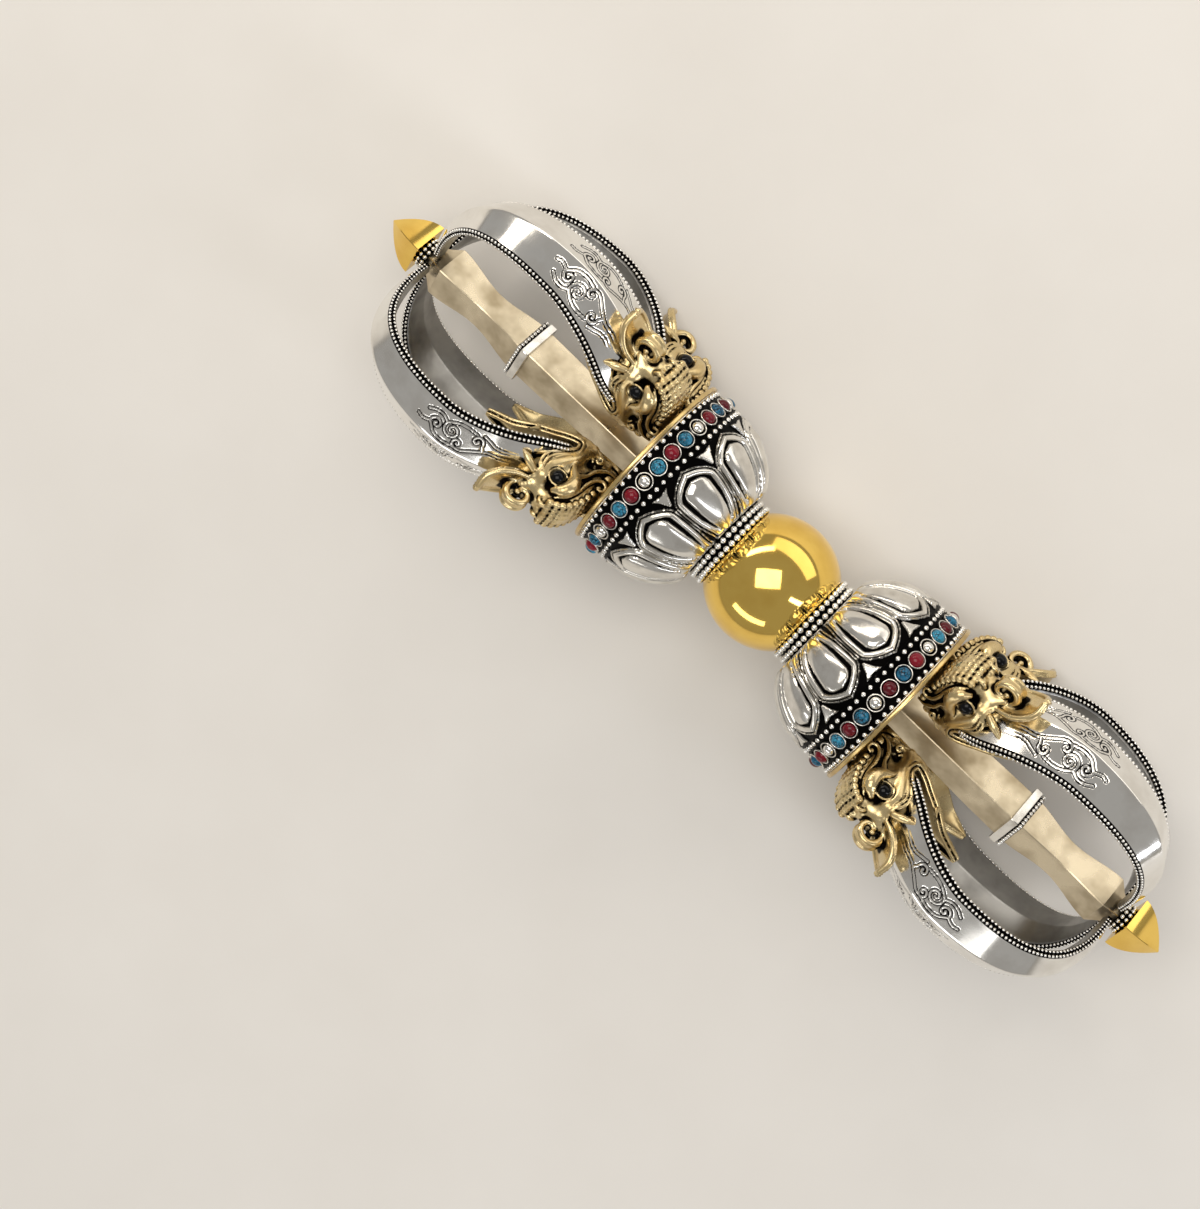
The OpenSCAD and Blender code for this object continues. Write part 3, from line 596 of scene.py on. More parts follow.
# How far each cup was turned when the dorje was clamped up, in degrees
CUP_TURN = {"left": 18, "right": 7}
# Half width at the root, greatest half width and its place, place of the tip, and two shares of the greatest
# half width on the way to the tip
FRONT = (2.85, 5.55, 9.0, 13.95, 0.88, 0.5)
BOSS = (0.95, 3.05, 8.4, 11.4, 0.96, 0.72)
# Distance in from the outline, half width and height of the outer line and of the border
LINE, BORDER = (0.17, 0.17, 0.6), (1.12, 0.6, 0.8)
BOSS_FOOT, BOSS_RISE, BOSS_ROUND = 0.3, 0.9, 2.1
# One side of the second row's tip, from the band to the collar, and the notch in its base
SECOND, NOTCH, SECOND_RISE = [(2.2, 13.95), (1.15, 12.7), (0.2, 10.7)], (0, 13.55), 0.6


def line_distance(x, y, start, stop):
    """Distance from points to the straight line between two places."""
    (ax, ay), (bx, by) = start, stop
    dx, dy = bx - ax, by - ay
    t = np.clip(((x - ax) * dx + (y - ay) * dy) / (dx * dx + dy * dy + 1e-12), 0, 1)
    return np.hypot(x - ax - t * dx, y - ay - t * dy)


def inside_distance(x, y, outline):
    """Distance from points to a closed outline: positive inside."""
    a = np.asarray(outline, float)
    b = np.roll(a, -1, 0)
    best = np.full(x.shape, 1e9)
    within = np.zeros(x.shape, bool)
    for (ax, ay), (bx, by) in zip(a, b):
        best = np.minimum(best, line_distance(x, y, (ax, ay), (bx, by)))
        if ay != by:
            within ^= ((ay > y) != (by > y)) & (x < (bx - ax) * (y - ay) / (by - ay) + ax)
    return np.where(within, best, -best)


def petal_outline(root, most, swell, tip, shoulder, point):
    left = tip - swell
    half = spline([(root, 0), (root + 0.7 * (most - root), 0.45 * swell), (most, swell),
                   (shoulder * most, swell + 0.4 * left), (point * most, swell + 0.75 * left), (0, tip)], 44)
    return np.concatenate([half, (half * (-1, 1))[::-1]])


def ridge_line(distance, middle, half):
    """Share of a rounded raised line, by its distance from the outline."""
    return np.clip(1 - ((distance - middle) / half) ** 2, 0, 1)


def cup_relief(s, z):
    """Height over the cup, patina and depth inside a petal, at s across the petal and z along the cup."""
    front = inside_distance(s, z, petal_outline(*FRONT))
    boss = inside_distance(s, z, petal_outline(*BOSS))
    line, border = ridge_line(front, *LINE[:2]), ridge_line(front, *BORDER[:2])
    lift = np.clip(boss / BOSS_ROUND, 0, 1)
    dome = np.where(boss > 0, BOSS_FOOT + BOSS_RISE * np.sqrt(1 - (1 - lift) ** 2), 0)
    height = np.maximum(np.maximum(LINE[2] * np.sqrt(line), BORDER[2] * np.sqrt(border)), dome)
    bright = np.maximum(np.maximum(ease(3 * line), ease(3 * border)), ease(boss / 0.08))
    return height, 1 - bright, front


def gap_relief(s, z):
    """The tip of a petal of the second row, in the gap between two petals."""
    outline = np.array(SECOND + [(-x, y) for x, y in SECOND[::-1]] + [NOTCH])
    body = ease(inside_distance(s, z, outline) / 0.12)
    return SECOND_RISE * body, 1 - body


NECK_R, CUP_LEN = 9.5, Z_BAND - Z_CUP
# Where the relief dies away, in from the band and from the collar, and over what length
BAND_FADE, COLLAR_FADE = (0.05, 0.25), (-0.35, 0.3)
FLARE = RIM_R - NECK_R
CUP_CURVE = [(NECK_R, Z_CUP), (NECK_R + 0.5 * FLARE, Z_CUP + 0.08 * CUP_LEN),
             (RIM_R - 0.15 * FLARE, Z_CUP + 0.45 * CUP_LEN), (RIM_R, Z_BAND)]
rows, columns = 96, 58
cup_line = bezier(CUP_CURVE, np.linspace(0, 1, 400))
cup_z = np.linspace(Z_CUP, Z_BAND, rows)
cup_r = np.interp(cup_z, cup_line[:, 1], cup_line[:, 0])
pitch = 2 * np.pi / PETALS
angles = pitch * (np.arange(columns) / columns - 0.5)
gap_angles = np.where(angles > 0, angles - pitch / 2, angles + pitch / 2)
along = np.broadcast_to((cup_z - Z_CUP)[:, None], (rows, columns))
high, dark, petal_depth = cup_relief(cup_r[:, None] * np.sin(angles), along)
gap_high, gap_dark = gap_relief(cup_r[:, None] * np.sin(gap_angles), along)
high = np.tile(np.where(petal_depth > 0, high, gap_high), (1, PETALS))
dark = np.tile(np.where(petal_depth > 0, dark, gap_dark), (1, PETALS))
turn = pitch * (np.arange(columns * PETALS) / columns - 0.5)
slope = np.gradient(cup_r, cup_z)
lean = np.stack([1 / np.hypot(1, slope), -slope / np.hypot(1, slope)], 1)
fade = ease((Z_BAND - BAND_FADE[0] - cup_z) / BAND_FADE[1])
fade *= ease((cup_z - Z_CUP - COLLAR_FADE[0]) / COLLAR_FADE[1])
radius = cup_r[:, None] + high * lean[:, :1] * fade[:, None]
height = np.maximum(cup_z[:, None] + high * lean[:, 1:] * fade[:, None], Z_CUP)
cup_rings = np.stack([radius * np.cos(turn), radius * np.sin(turn), height], 2)
cup_points, cup_faces = loft(cup_rings, [(0, 0, Z_CUP), (0, 0, Z_BAND)])
cup_dark = np.concatenate([dark.ravel(), [1, 1]])
for end in ENDS:
    piece("lotus_bowl_" + end, lay(spin(cup_points, CUP_TURN[end]), end), cup_faces, [CHASED], cup_dark,
          nodes=["lotus_cup_" + end], sharp=60)
print("cup faces", len(cup_faces))

# %% [markdown]
# ## Spikes, knops and points
# The spike is square, with one face to each prong. It swells to the knop, draws in at a waist and flares
# under the tip. The knop has a plain bar towards the plate and a row of beads towards the tip. All could be
# boxes with bevelled edges, but a loft over square rings follows the swell and the bowed faces of the
# points.

# %% Spikes, knops and points
def sides(half):
    """The sides of a square whose corners lie on the local x and y axes."""
    quarters = np.radians((0, 90, 180, 270))
    corners = [half * math.sqrt(2) * np.array((math.cos(a), math.sin(a))) for a in quarters]
    return zip(corners, corners[1:] + corners[:1])


RING_STEPS = 4


def square_ring(half, z, bevel=0.18):
    """Square with bevelled corners."""
    ring = []
    for a, b in sides(half):
        cut = min(bevel / np.linalg.norm(b - a), 0.4)
        ring += [(*(a + (b - a) * t), z) for t in np.linspace(cut, 1 - cut, RING_STEPS)]
    return np.array(ring)


def square_beads(half, z, pitch):
    """Places of beads along the sides of a square."""
    places = []
    for a, b in sides(half):
        count = max(round(np.linalg.norm(b - a) / pitch), 1)
        places += [(*(a + (b - a) * i / count), z) for i in range(count)]
    return np.array(places)


SPIKE_LEN, KNOP_AT = 58.0, 32.5
FLARE_AT = SPIKE_LEN - 2
WAIST_AT = (KNOP_AT + FLARE_AT) / 2
ROOT_W, KNOP_W, WAIST_W, FLARE_W = 6.6, 8.0, 6.0, 8.2
SHOULDER_HALF, STEM_HALF = 2.88, 2.0
KNOP_RISE, KNOP_LEN, KNOP_BEAD, KNOP_PLAY = 0.9, 3.0, 0.95, 0.12
# The knop's section: (rise over the spike, place along it, patina)
KNOP = [(0.0, 0.0, 0.4), (0.65, 0.02, 0), (0.85, 0.12, 0), (0.9, 0.4, 0), (0.9, 1.4, 0), (0.85, 1.7, 0),
        (0.65, 1.85, 0.4), (0.3, 1.9, 1), (0.3, 2.9, 1), (0.0, 3.0, 1)]
FINIAL_HALF, POINT_HALF, BOW, FINIAL_BEVEL = 4.3, 0.15, 1.8, 0.14
TIP_R, TIP_ROW_R, TIP_BEADS, TIP_BEAD = 2.9, 3.1, 16, 0.95


def spike_half(h):
    """Half the spike's width at a height over the plate."""
    def glide(a, b, t):
        return a + (b - a) * (1 - math.cos(math.pi * t)) / 2
    if h < KNOP_AT:
        return (ROOT_W + (KNOP_W - ROOT_W) * math.sin(math.pi / 2 * h / KNOP_AT)) / 2
    if h < WAIST_AT:
        return glide(KNOP_W, WAIST_W, (h - KNOP_AT) / (WAIST_AT - KNOP_AT)) / 2
    return glide(WAIST_W, FLARE_W, min((h - WAIST_AT) / (FLARE_AT - WAIST_AT), 1)) / 2


spike_rings = [square_ring(spike_half(h), Z_ROOT + h) for h in np.linspace(0, FLARE_AT, 64)]
spike_rings += [square_ring(SHOULDER_HALF, Z_ROOT + SPIKE_LEN), square_ring(STEM_HALF, Z_TIP)]
spike_points, spike_faces = loft(spike_rings)
core = spike_half(KNOP_AT) + KNOP_PLAY
low, top = Z_ROOT + KNOP_AT - KNOP_LEN / 2, Z_ROOT + KNOP_AT + KNOP_LEN / 2
bar_points, bar_faces = loft([square_ring(core + rise, low + up) for rise, up, _ in KNOP])
bar_dark = np.concatenate([np.repeat([dark for _, _, dark in KNOP], 4 * RING_STEPS), [1, 1]])
knop_beads = square_beads(core + KNOP_RISE - KNOP_BEAD / 2, top - 0.55, 1.06 * KNOP_BEAD)
finial_rings = []
for t in np.linspace(0, 1, 28):
    half = FINIAL_HALF - (FINIAL_HALF - POINT_HALF) * t ** BOW
    finial_rings.append(square_ring(half, Z_FINIAL + (Z_POINT - Z_FINIAL) * t, FINIAL_BEVEL))
finial_points, finial_faces = loft(finial_rings)
tip_ring = ring_profile(TIP_R, Z_TIP, Z_FINIAL, 1)
tip_rows = [(TIP_BEAD, TIP_ROW_R, Z_TIP + share * (Z_FINIAL - Z_TIP), TIP_BEADS, 2 * share)
            for share in (0.25, 0.75)]
for end in ENDS:
    piece("square_spike_" + end, lay(spike_points, end), spike_faces, [CHAMPAGNE], nodes=["spike_" + end],
          sharp=25)
    piece("knop_bar_" + end, lay(bar_points, end), bar_faces, [CHASED], bar_dark, nodes=["spike_knop_" + end],
          sharp=30)
    set_on("knop_beads_" + end, BEAD, SILVER, lay(knop_beads, end), lay_aims(one_aim(knop_beads), end),
           [KNOP_BEAD * MM] * len(knop_beads), seed=8, spread=0.04)
    piece("point_" + end, lay(finial_points, end), finial_faces, [GOLD], nodes=["finial_" + end],
          sharp=25)
    turned("tip_ring_" + end, end, tip_ring, BLACK, ["tip_collar_" + end], 48)
    granules("tip_granules_" + end, end, tip_rows, seed=9)
print("spikes, knops and points done")

# %% [markdown]
# ## Prongs
# A prong follows one ridge curve, from the makara's mouth out to the belly of the cage and back in to the
# tip. Its section is a roof: two polished facets, a side groove between two rows of beads that is painted
# black as shade, and a satin inner face. A curve with a bevel object could carry that section, but it would
# taper all sizes alike. Here width, ridge, edge and keel each have a taper of their own, and a scroll is
# engraved on each facet beyond the head.

# %% The ridge curve and its section
MOUTH_OUT, MOUTH_UP, BELLY_R, BELLY_UP = 0.2, 8, 32.4, 33
END_R, END_GAP, END_DIP = 3.0, 0.12, math.radians(8)
MOUTH = np.array((HEAD_R + MOUTH_OUT, Z_ROOT + MOUTH_UP))
BELLY = np.array((BELLY_R, Z_ROOT + BELLY_UP))
TIP = np.array((END_R, Z_TIP - END_GAP))
DIP = np.array((math.cos(END_DIP), math.sin(END_DIP)))
ROOT_CURVE = [MOUTH, MOUTH + (8.4, 0.6), BELLY - (0, 10.8), BELLY]
TIP_CURVE = [BELLY, BELLY + (0, 0.98 * (TIP[1] - BELLY[1])), TIP + 0.44 * (BELLY[0] - TIP[0]) * DIP, TIP]
ROOT_SHARE, WIDEST = 0.43, 0.19
# Half width, height of the ridge, thickness of the edge and height of the keel: each at the root, at the
# widest place and at the tip
PRONG_SIZES = ((5.6, 8.9, 2.0), (2.16, 3.6, 0.6), (1.9, 1.9, 0.9), (1.4, 1.4, 0.35))


def ridge_at(u):
    """Ridge points as (radius, z) and the direction that faces away from the axis."""
    def point(v):
        root = bezier(ROOT_CURVE, np.clip(v / ROOT_SHARE, 0, 1))
        tip = bezier(TIP_CURVE, np.clip((v - ROOT_SHARE) / (1 - ROOT_SHARE), 0, 1))
        return np.where((v < ROOT_SHARE)[:, None], root, tip)
    step = 1e-4
    way = point(np.clip(u + step, 0, 1)) - point(np.clip(u - step, 0, 1))
    way /= np.linalg.norm(way, axis=1)[:, None]
    return point(u), np.stack([way[:, 1], -way[:, 0]], 1)


def taper(u, root, most, tip):
    swell = root + (most - root) * np.sin(np.pi / 2 * u / WIDEST)
    return np.where(u < WIDEST, swell,
                    tip + (most - tip) * np.cos(np.pi / 2 * np.clip((u - WIDEST) / (1 - WIDEST), 0, 1)))


def prong_sizes(u):
    return [taper(u, *sizes) for sizes in PRONG_SIZES]


def on_section(u, lateral, normal):
    """Local points of a prong in the plane of y = 0, from places in its section."""
    base, out = ridge_at(u)
    return np.stack([base[:, 0] + normal * out[:, 0], lateral, base[:, 1] + normal * out[:, 1]], 1)


fine_u = np.linspace(0, 1, 1500)
fine_ridge = ridge_at(fine_u)[0]
fine_run = path_length(fine_ridge)
print("prong length along its ridge", round(float(fine_run[-1]), 1), "mm")


# %% The engraved scroll
def curl(centre, radius, start, turns, hand, steps=46):
    """Spiral that winds in to its centre."""
    t = np.linspace(0, 1, steps)
    a = np.radians(start) + hand * 2 * np.pi * turns * t
    r = radius * (1 - 0.86 * t ** 0.9)
    return np.stack([centre[0] + r * np.cos(a), centre[1] + r * np.sin(a)], 1)


# Lines of the scroll, in millimetres along a facet and off its ridge: stems that end in curls, then leaves
STEMS = (
    ([(-1.5, 3.4), (1.5, 3.7), (4.4, 2.7), (6.8, 1.5), (8.4, 1.5)], 30, ((8.0, 2.7), 1.2, -70, 1.0, 1)),
    ([(2.6, 3.5), (3.0, 4.6)], 8, ((4.4, 5.3), 1.5, 205, 1.15, -1)),
    ([(5.0, 6.8), (7.4, 7.2), (10.0, 6.9), (12.2, 5.6)], 24, ((10.2, 4.7), 2.1, 25, 1.35, -1)),
    ([(8.6, 1.5), (11.0, 1.2), (13.4, 1.6), (15.3, 3.2)], 24, ((13.9, 3.7), 1.5, -20, 1.2, 1)),
)
LEAVES = (
    ([(12.2, 5.8), (13.6, 6.4), (15.4, 6.2), (17.0, 5.2)], 16),
    ([(-1.5, 5.2), (0.4, 5.6), (1.8, 6.4), (3.4, 7.2)], 16),
    ([(15.6, 3.0), (17.0, 2.4), (18.2, 2.6)], 10),
)
SCROLL = [np.vstack([spline(stem, steps), curl(*end)]) for stem, steps, end in STEMS]
SCROLL += [spline(leaf, steps) for leaf, steps in LEAVES]
GROOVE_DEEP, GROOVE_FROM, GROOVE_TO, GROOVE_SOFT = 0.14, 0.2, 0.46, 0.08


def engrave(x, y):
    """Depth and patina of the scroll at x along a facet and y off its ridge: two grooves beside a line."""
    near_enough = 2.2
    gap = np.full(x.shape, 9.0)
    for line in SCROLL:
        for start, stop in zip(line, line[1:]):
            near = (np.abs(x - start[0]) < near_enough) & (np.abs(y - start[1]) < near_enough)
            if near.any():
                gap[near] = np.minimum(gap[near], line_distance(x[near], y[near], start, stop))
    groove = ease((gap - GROOVE_FROM) / GROOVE_SOFT) * (1 - ease((gap - GROOVE_TO) / GROOVE_SOFT))
    return -GROOVE_DEEP * groove, groove


print(len(SCROLL), "lines in the scroll")


# %% Build the prongs
# Points across a facet, where the scroll begins along the axis, and the rows along a prong: from, to and step
# through the scroll, with plain rows before and after it
FACET, SCROLL_Z = 44, 55.5
SCROLL_ROWS, ROOT_ROWS, TIP_ROWS = (-1.5, 20.5, 0.17), 12, 52
FACET_IN, INNER_IN, SIDE_LIFT = 0.95, 0.85, 0.25
RIDGE_ROUND, RIDGE_SOFT, KEEL_BOW = 0.06, 0.25, 0.9
# The side, from the facet in: (inset, drop, painted shade); the wall is painted black as the shade it stands
# in
SIDE = ((0.9, 0.0, 1), (0.8, 0.3, 1), (0.42, 0.34, 1), (0.5, 0.6, 1), (0.72, 0.85, 1), (0.72, 1.1, 1),
        (0.55, 1.35, 1), (0.62, 1.7, 1), (0.8, 1.85, 0.6))
INNER = (0.97, 0.8, 0.6, 0.4, 0.2, 0.05)
scroll_start = float(np.interp(SCROLL_Z, fine_ridge[:400, 1], fine_run[:400]))
scroll_u = np.interp(scroll_start + np.arange(*SCROLL_ROWS), fine_run, fine_u)
u = np.unique(np.concatenate([np.linspace(0, scroll_u[0], ROOT_ROWS), scroll_u,
                              np.linspace(scroll_u[-1], 1, TIP_ROWS)]))
run = np.interp(u, fine_u, fine_run) - scroll_start
width, ridge, edge, keel = prong_sizes(u)
small = edge / edge[0]
facet_w = width - FACET_IN * small
# Half of the section, from the ridge to the keel: (lateral, normal, patina and painted shade) at every u
half = []
for q in np.arange(FACET) / (FACET - 1):
    depth, dark = engrave(run, q * np.hypot(facet_w, ridge))
    rounding = RIDGE_ROUND * np.exp(-(q * facet_w / RIDGE_SOFT) ** 2)
    half.append((q * facet_w, -ridge * q * facet_w / width + depth - rounding, dark))
for inset, drop, dark in SIDE:
    half.append((width - inset * small, -ridge - (drop - SIDE_LIFT) * small, np.full(len(u), float(dark))))
for q in INNER:
    # A faint painted shade from the side reaches the edge of the inner face
    dark = 0.25 if q > 0.9 else 0.0
    inner = -ridge - edge - keel * (1 - q) ** KEEL_BOW
    half.append((q * (width - INNER_IN * small), inner, np.full(len(u), dark)))
bottom = (np.zeros(len(u)), -ridge - edge - keel, np.zeros(len(u)))
section = half + [bottom] + [(-lateral, normal, dark) for lateral, normal, dark in half[:0:-1]]
columns = len(section)
prong_rings = np.stack([on_section(u, lateral, normal) for lateral, normal, _ in section], 1)
prong_points, prong_faces = loft(prong_rings)
prong_dark = np.concatenate([np.stack([dark for _, _, dark in section], 1).ravel(), [1, 0]])
# Facets are polished, sides are painted black as shade and the inner face is satin; the last faces close root
# and tip
off_ridge = np.minimum(np.arange(columns), np.arange(columns)[::-1])
finish = np.where(off_ridge < FACET - 1, 0, np.where(off_ridge < FACET + len(SIDE) - 1, 1, 2))
prong_finish = np.concatenate([np.tile(finish, len(u) - 1), np.tile((2, 0), columns)])


def bead_row(inset, drop, pitch=0.92, start=0.03, stop=0.985):
    """Places along a prong's edge at even steps, with the share of full size at each."""
    w, rise, thick, _ = prong_sizes(fine_u)
    e = thick / thick[0]
    path = on_section(fine_u, w - inset * e, -rise - drop * e)
    length = path_length(path)
    low, high = np.interp((start, stop), fine_u, length)
    at = np.linspace(low, high, int((high - low) / pitch))
    return np.stack([np.interp(at, length, path[:, i]) for i in range(3)], 1), np.interp(at, length, e)


# Diameter of a bead: a part that narrows with the prong, and a part that stays
OUTER_BEAD, INNER_BEAD = (0.42, 0.38), (0.4, 0.36)
outer_row, outer_share = bead_row(inset=0.55, drop=0.08)
inner_row, inner_share = bead_row(inset=0.45, drop=1.3)
row_points = np.vstack([outer_row, outer_row * (1, -1, 1), inner_row, inner_row * (1, -1, 1)])
outer_size = outer_share * OUTER_BEAD[0] + OUTER_BEAD[1]
inner_size = inner_share * INNER_BEAD[0] + INNER_BEAD[1]
row_sizes = np.concatenate([outer_size] * 2 + [inner_size] * 2) * MM
for end in ENDS:
    for i, degrees in enumerate(TURNS):
        name = f"prong_{end}_{i + 1}"
        piece("curved_" + name, lay(spin(prong_points, degrees), end), prong_faces, [SILVER, BLACK, SATIN],
              prong_dark, prong_finish, 32, [name])
        set_on("edge_beads_" + name, FINE_BEAD, SILVER, lay(spin(row_points, degrees), end),
               one_aim(row_points), row_sizes, seed=11 + i, spread=0.05)
print("prong faces", len(prong_faces), "beads on a prong", len(row_points))

# %% [markdown]
# ## Makara heads
# The heads are the finest work on the dorje, so one is carved with care and copied to its eight places. By
# hand it would be sculpted. Simple shapes could be joined by Boolean modifiers, but they would meet in hard
# seams. So the carving is a distance field: a box of numbers that says how far each small cell lies from
# the metal. Lumps, tubes and blades are blended into it, sockets are cut out, and a skin is drawn where the
# number is zero. Places are written as (out, up, side): out from the peg, up from the plate, and to either
# side.

# %% The carving field
STEP, OPEN_AIR, MARGIN = 0.2, 6.0, 2.6
LOW, HIGH = np.array((-8.0, -0.6, -8.0)), np.array((22.0, 29.4, 8.0))
AXES = [np.arange(LOW[i], HIGH[i] + STEP / 2, STEP, dtype=np.float32) for i in range(3)]
FIELD = np.full([len(a) for a in AXES], OPEN_AIR, np.float32)
print("carving field", FIELD.shape, "cells of", STEP, "mm")


def window(low, high):
    """Slices of the field round a shape, with both sides of the head, and the cells' places."""
    low, high = np.array(low, float) - MARGIN, np.array(high, float) + MARGIN
    low[2], high[2] = -high[2], high[2]
    start = [int(max((low[i] - LOW[i]) // STEP, 0)) for i in range(3)]
    stop = [int(min((high[i] - LOW[i]) // STEP + 2, len(AXES[i]))) for i in range(3)]
    cut = tuple(slice(a, b) for a, b in zip(start, stop))
    o, up, side = (axis[part] for axis, part in zip(AXES, cut))
    return cut, o[:, None, None], up[None, :, None], np.abs(side)[None, None, :]


def blend_in(cut, distance, soft):
    old = FIELD[cut]
    h = np.clip(0.5 + 0.5 * (distance - old) / soft, 0, 1)
    FIELD[cut] = distance + (old - distance) * h - soft * h * (1 - h)


def cut_out(cut, distance, soft):
    old = FIELD[cut]
    h = np.clip(0.5 - 0.5 * (distance + old) / soft, 0, 1)
    FIELD[cut] = old + (-distance - old) * h + soft * h * (1 - h)


def lump(centre, radii, soft=1.2):
    c, r = np.array(centre, float), np.array(radii, float)
    cut, o, up, side = window(c - r, c + r)
    q = np.sqrt(((o - c[0]) / r[0]) ** 2 + ((up - c[1]) / r[1]) ** 2 + ((side - c[2]) / r[2]) ** 2)
    blend_in(cut, (q - 1) * r.min(), soft)


def tube_distance(path, o, up, side):
    best = None
    for a, b in zip(path, path[1:]):
        ab = b[:3] - a[:3]
        t = ((o - a[0]) * ab[0] + (up - a[1]) * ab[1] + (side - a[2]) * ab[2]) / (ab @ ab + 1e-9)
        t = np.clip(t, 0, 1)
        x, y, z = (p - start - t * span for p, start, span in zip((o, up, side), a, ab))
        gap = np.sqrt(x ** 2 + y ** 2 + z ** 2)
        gap -= a[3] + t * (b[3] - a[3])
        best = gap if best is None else np.minimum(best, gap)
    return best


def tube(points, soft, smooth=3, cut_away=False):
    """Round bar through (out, up, side, radius)."""
    path = spline(points, (len(points) - 1) * smooth + 1).astype(np.float32)
    fat = path[:, 3].max()
    cut, o, up, side = window(path[:, :3].min(0) - fat, path[:, :3].max(0) + fat)
    (cut_out if cut_away else blend_in)(cut, tube_distance(path, o, up, side), soft)


def rims(points, apart, radius, soft=0.12):
    """Two fine bars side by side along (out, up, side), with a groove between them."""
    path = spline(points, 3 * len(points))
    across = np.cross(np.gradient(path, axis=0), (0.5, 0, 1))
    across *= apart / 2 / np.linalg.norm(across, axis=1)[:, None]
    for shift in (-1, 1):
        tube([(*p, radius) for p in path + shift * across], soft, 1)


def blade(points, thick, cup, soft, samples=28):
    """Curved sheet across the head, through (out, up, half width); cup lifts its edges."""
    path = spline(points, samples)
    least, most = path.min(0), path.max(0)
    cut, o, up, side = window((least[0], least[1], 0), most)
    o2, u2 = o[:, :, 0], up[:, :, 0]
    best = np.full(np.broadcast(o2, u2).shape, 1e9, np.float32)
    normal, width = np.zeros_like(best), np.zeros_like(best)
    for a, b in zip(path, path[1:]):
        d = b[:2] - a[:2]
        t = np.clip(((o2 - a[0]) * d[0] + (u2 - a[1]) * d[1]) / (d @ d + 1e-9), 0, 1)
        px, py = o2 - a[0] - t * d[0], u2 - a[1] - t * d[1]
        gap = np.hypot(px, py)
        near = gap < best
        best = np.where(near, gap, best)
        normal = np.where(near, np.sign(d[0] * py - d[1] * px) * gap, normal)
        width = np.where(near, a[2] + t * (b[2] - a[2]), width)
    share = side / np.maximum(width[:, :, None], 0.3)
    flat = np.abs(normal[:, :, None] - cup * np.minimum(share, 1.2) ** 2) - thick / 2
    over = np.maximum(side - width[:, :, None], 0)
    blend_in(cut, np.where(over > 0, np.hypot(over, np.maximum(flat, 0)), flat) - 0.02, soft)


# %% Carve the head
# Skull, nape, under-eye, peg and jaw hinge: the masses under the ornament
lump((3.2, 4.6, 0), (6.2, 4.0, 4.6))
lump((8.0, 5.6, 0), (4.6, 4.2, 4.6))
tube([(0.4, 3.4, 2.2, 1.7), (4.2, 3.4, 2.5, 1.7), (8.6, 3.8, 2.5, 1.7), (10.8, 6.0, 1.8, 1.6)], 1.0)
lump((4.2, 7.8, 2.4), (4.8, 2.9, 3.1))
lump((0, 1.0, 0), (2.2, 2.0, 2.2))
tube([(-2.6, 3.4, 1.6, 2.0), (-3.2, 7.2, 2.8, 2.0), (-3.3, 10.6, 3.4, 1.6), (-2.4, 14.2, 2.6, 1.0)], 1.0)
# Cheek: one smooth roll from the corner of the mouth to the muzzle, which narrows to the trunk
tube([(-1.8, 8.6, 4.0, 1.7), (1.0, 9.1, 4.5, 1.7), (3.8, 10.4, 4.7, 1.7), (6.6, 11.5, 4.7, 1.6),
      (8.8, 11.3, 4.0, 1.6)], 1.0)
tube([(8.6, 11.2, 3.2, 1.9), (10.2, 11.6, 1.8, 2.0), (11.6, 12.8, 0.8, 1.6)], 1.0)
lump((10.4, 9.2, 0), (2.4, 3.0, 3.0))
# Eye sockets, sunk between brow and cheek, each with a fine lid round the bead
EYE_AT, EYE_D, SOCKET_R, SOCKET_OUT = (7.8, 8.6, 5.0), 3.4, 2.05, 0.6
LID_R, LID_SIDE, LID_FAT = 1.9, 5.3, 0.24
cut, o, up, side = window((5.7, 6.5, 4), (9.9, 10.7, 9))
off_eye = (o - EYE_AT[0]) ** 2 + (up - EYE_AT[1]) ** 2 + (side - EYE_AT[2] - SOCKET_OUT) ** 2
cut_out(cut, np.sqrt(off_eye) - SOCKET_R, 0.4)
tube([(EYE_AT[0] + LID_R * math.cos(a), EYE_AT[1] + LID_R * math.sin(a), LID_SIDE, LID_FAT)
      for a in np.linspace(0, 2 * math.pi, 13)], 0.15)
# Brow: a heavy crescent on the nape side of the eye, that flames out in two points
tube([(10.3, 7.4, 4.6, 0.7), (9.3, 6.0, 5.3, 1.4), (7.3, 5.4, 5.7, 1.5), (5.6, 6.1, 5.8, 1.2),
      (4.2, 7.5, 5.6, 0.7), (2.8, 8.1, 5.5, 0.4), (1.6, 7.6, 5.3, 0.14)], 0.3)
tube([(6.2, 5.9, 5.7, 0.9), (4.4, 5.7, 5.5, 0.62), (2.8, 4.9, 5.2, 0.4), (1.4, 4.4, 4.9, 0.14)], 0.25)
# Lip line: a double rim along the upper lip, round the corner of the mouth and out along the jaw. One roll
# joins it to the trunk
UPPER_LIP = [(8.9, 12.6, 5.7), (7.4, 13.1, 6.2), (5.8, 13.0, 6.3), (4.0, 12.2, 6.3), (1.6, 10.5, 6.1),
             (0.1, 9.8, 6.0), (-1.5, 10.2, 5.8)]
JAW = [(-1.9, 11.4, 5.4), (-1.3, 13.4, 5.0), (-0.2, 15.6, 4.5), (1.2, 18.5, 3.9), (2.6, 20.9, 3.2),
       (3.7, 23.2, 2.3), (4.2, 26.0, 1.3), (4.5, 28.4, 0.35)]
rims(UPPER_LIP + JAW, 0.86, 0.36)
tube([(11.4, 13.3, 1.4, 0.7), (10.7, 12.7, 3.2, 0.6), (9.9, 12.3, 4.8, 0.55), (8.6, 12.6, 5.8, 0.5)], 0.2)
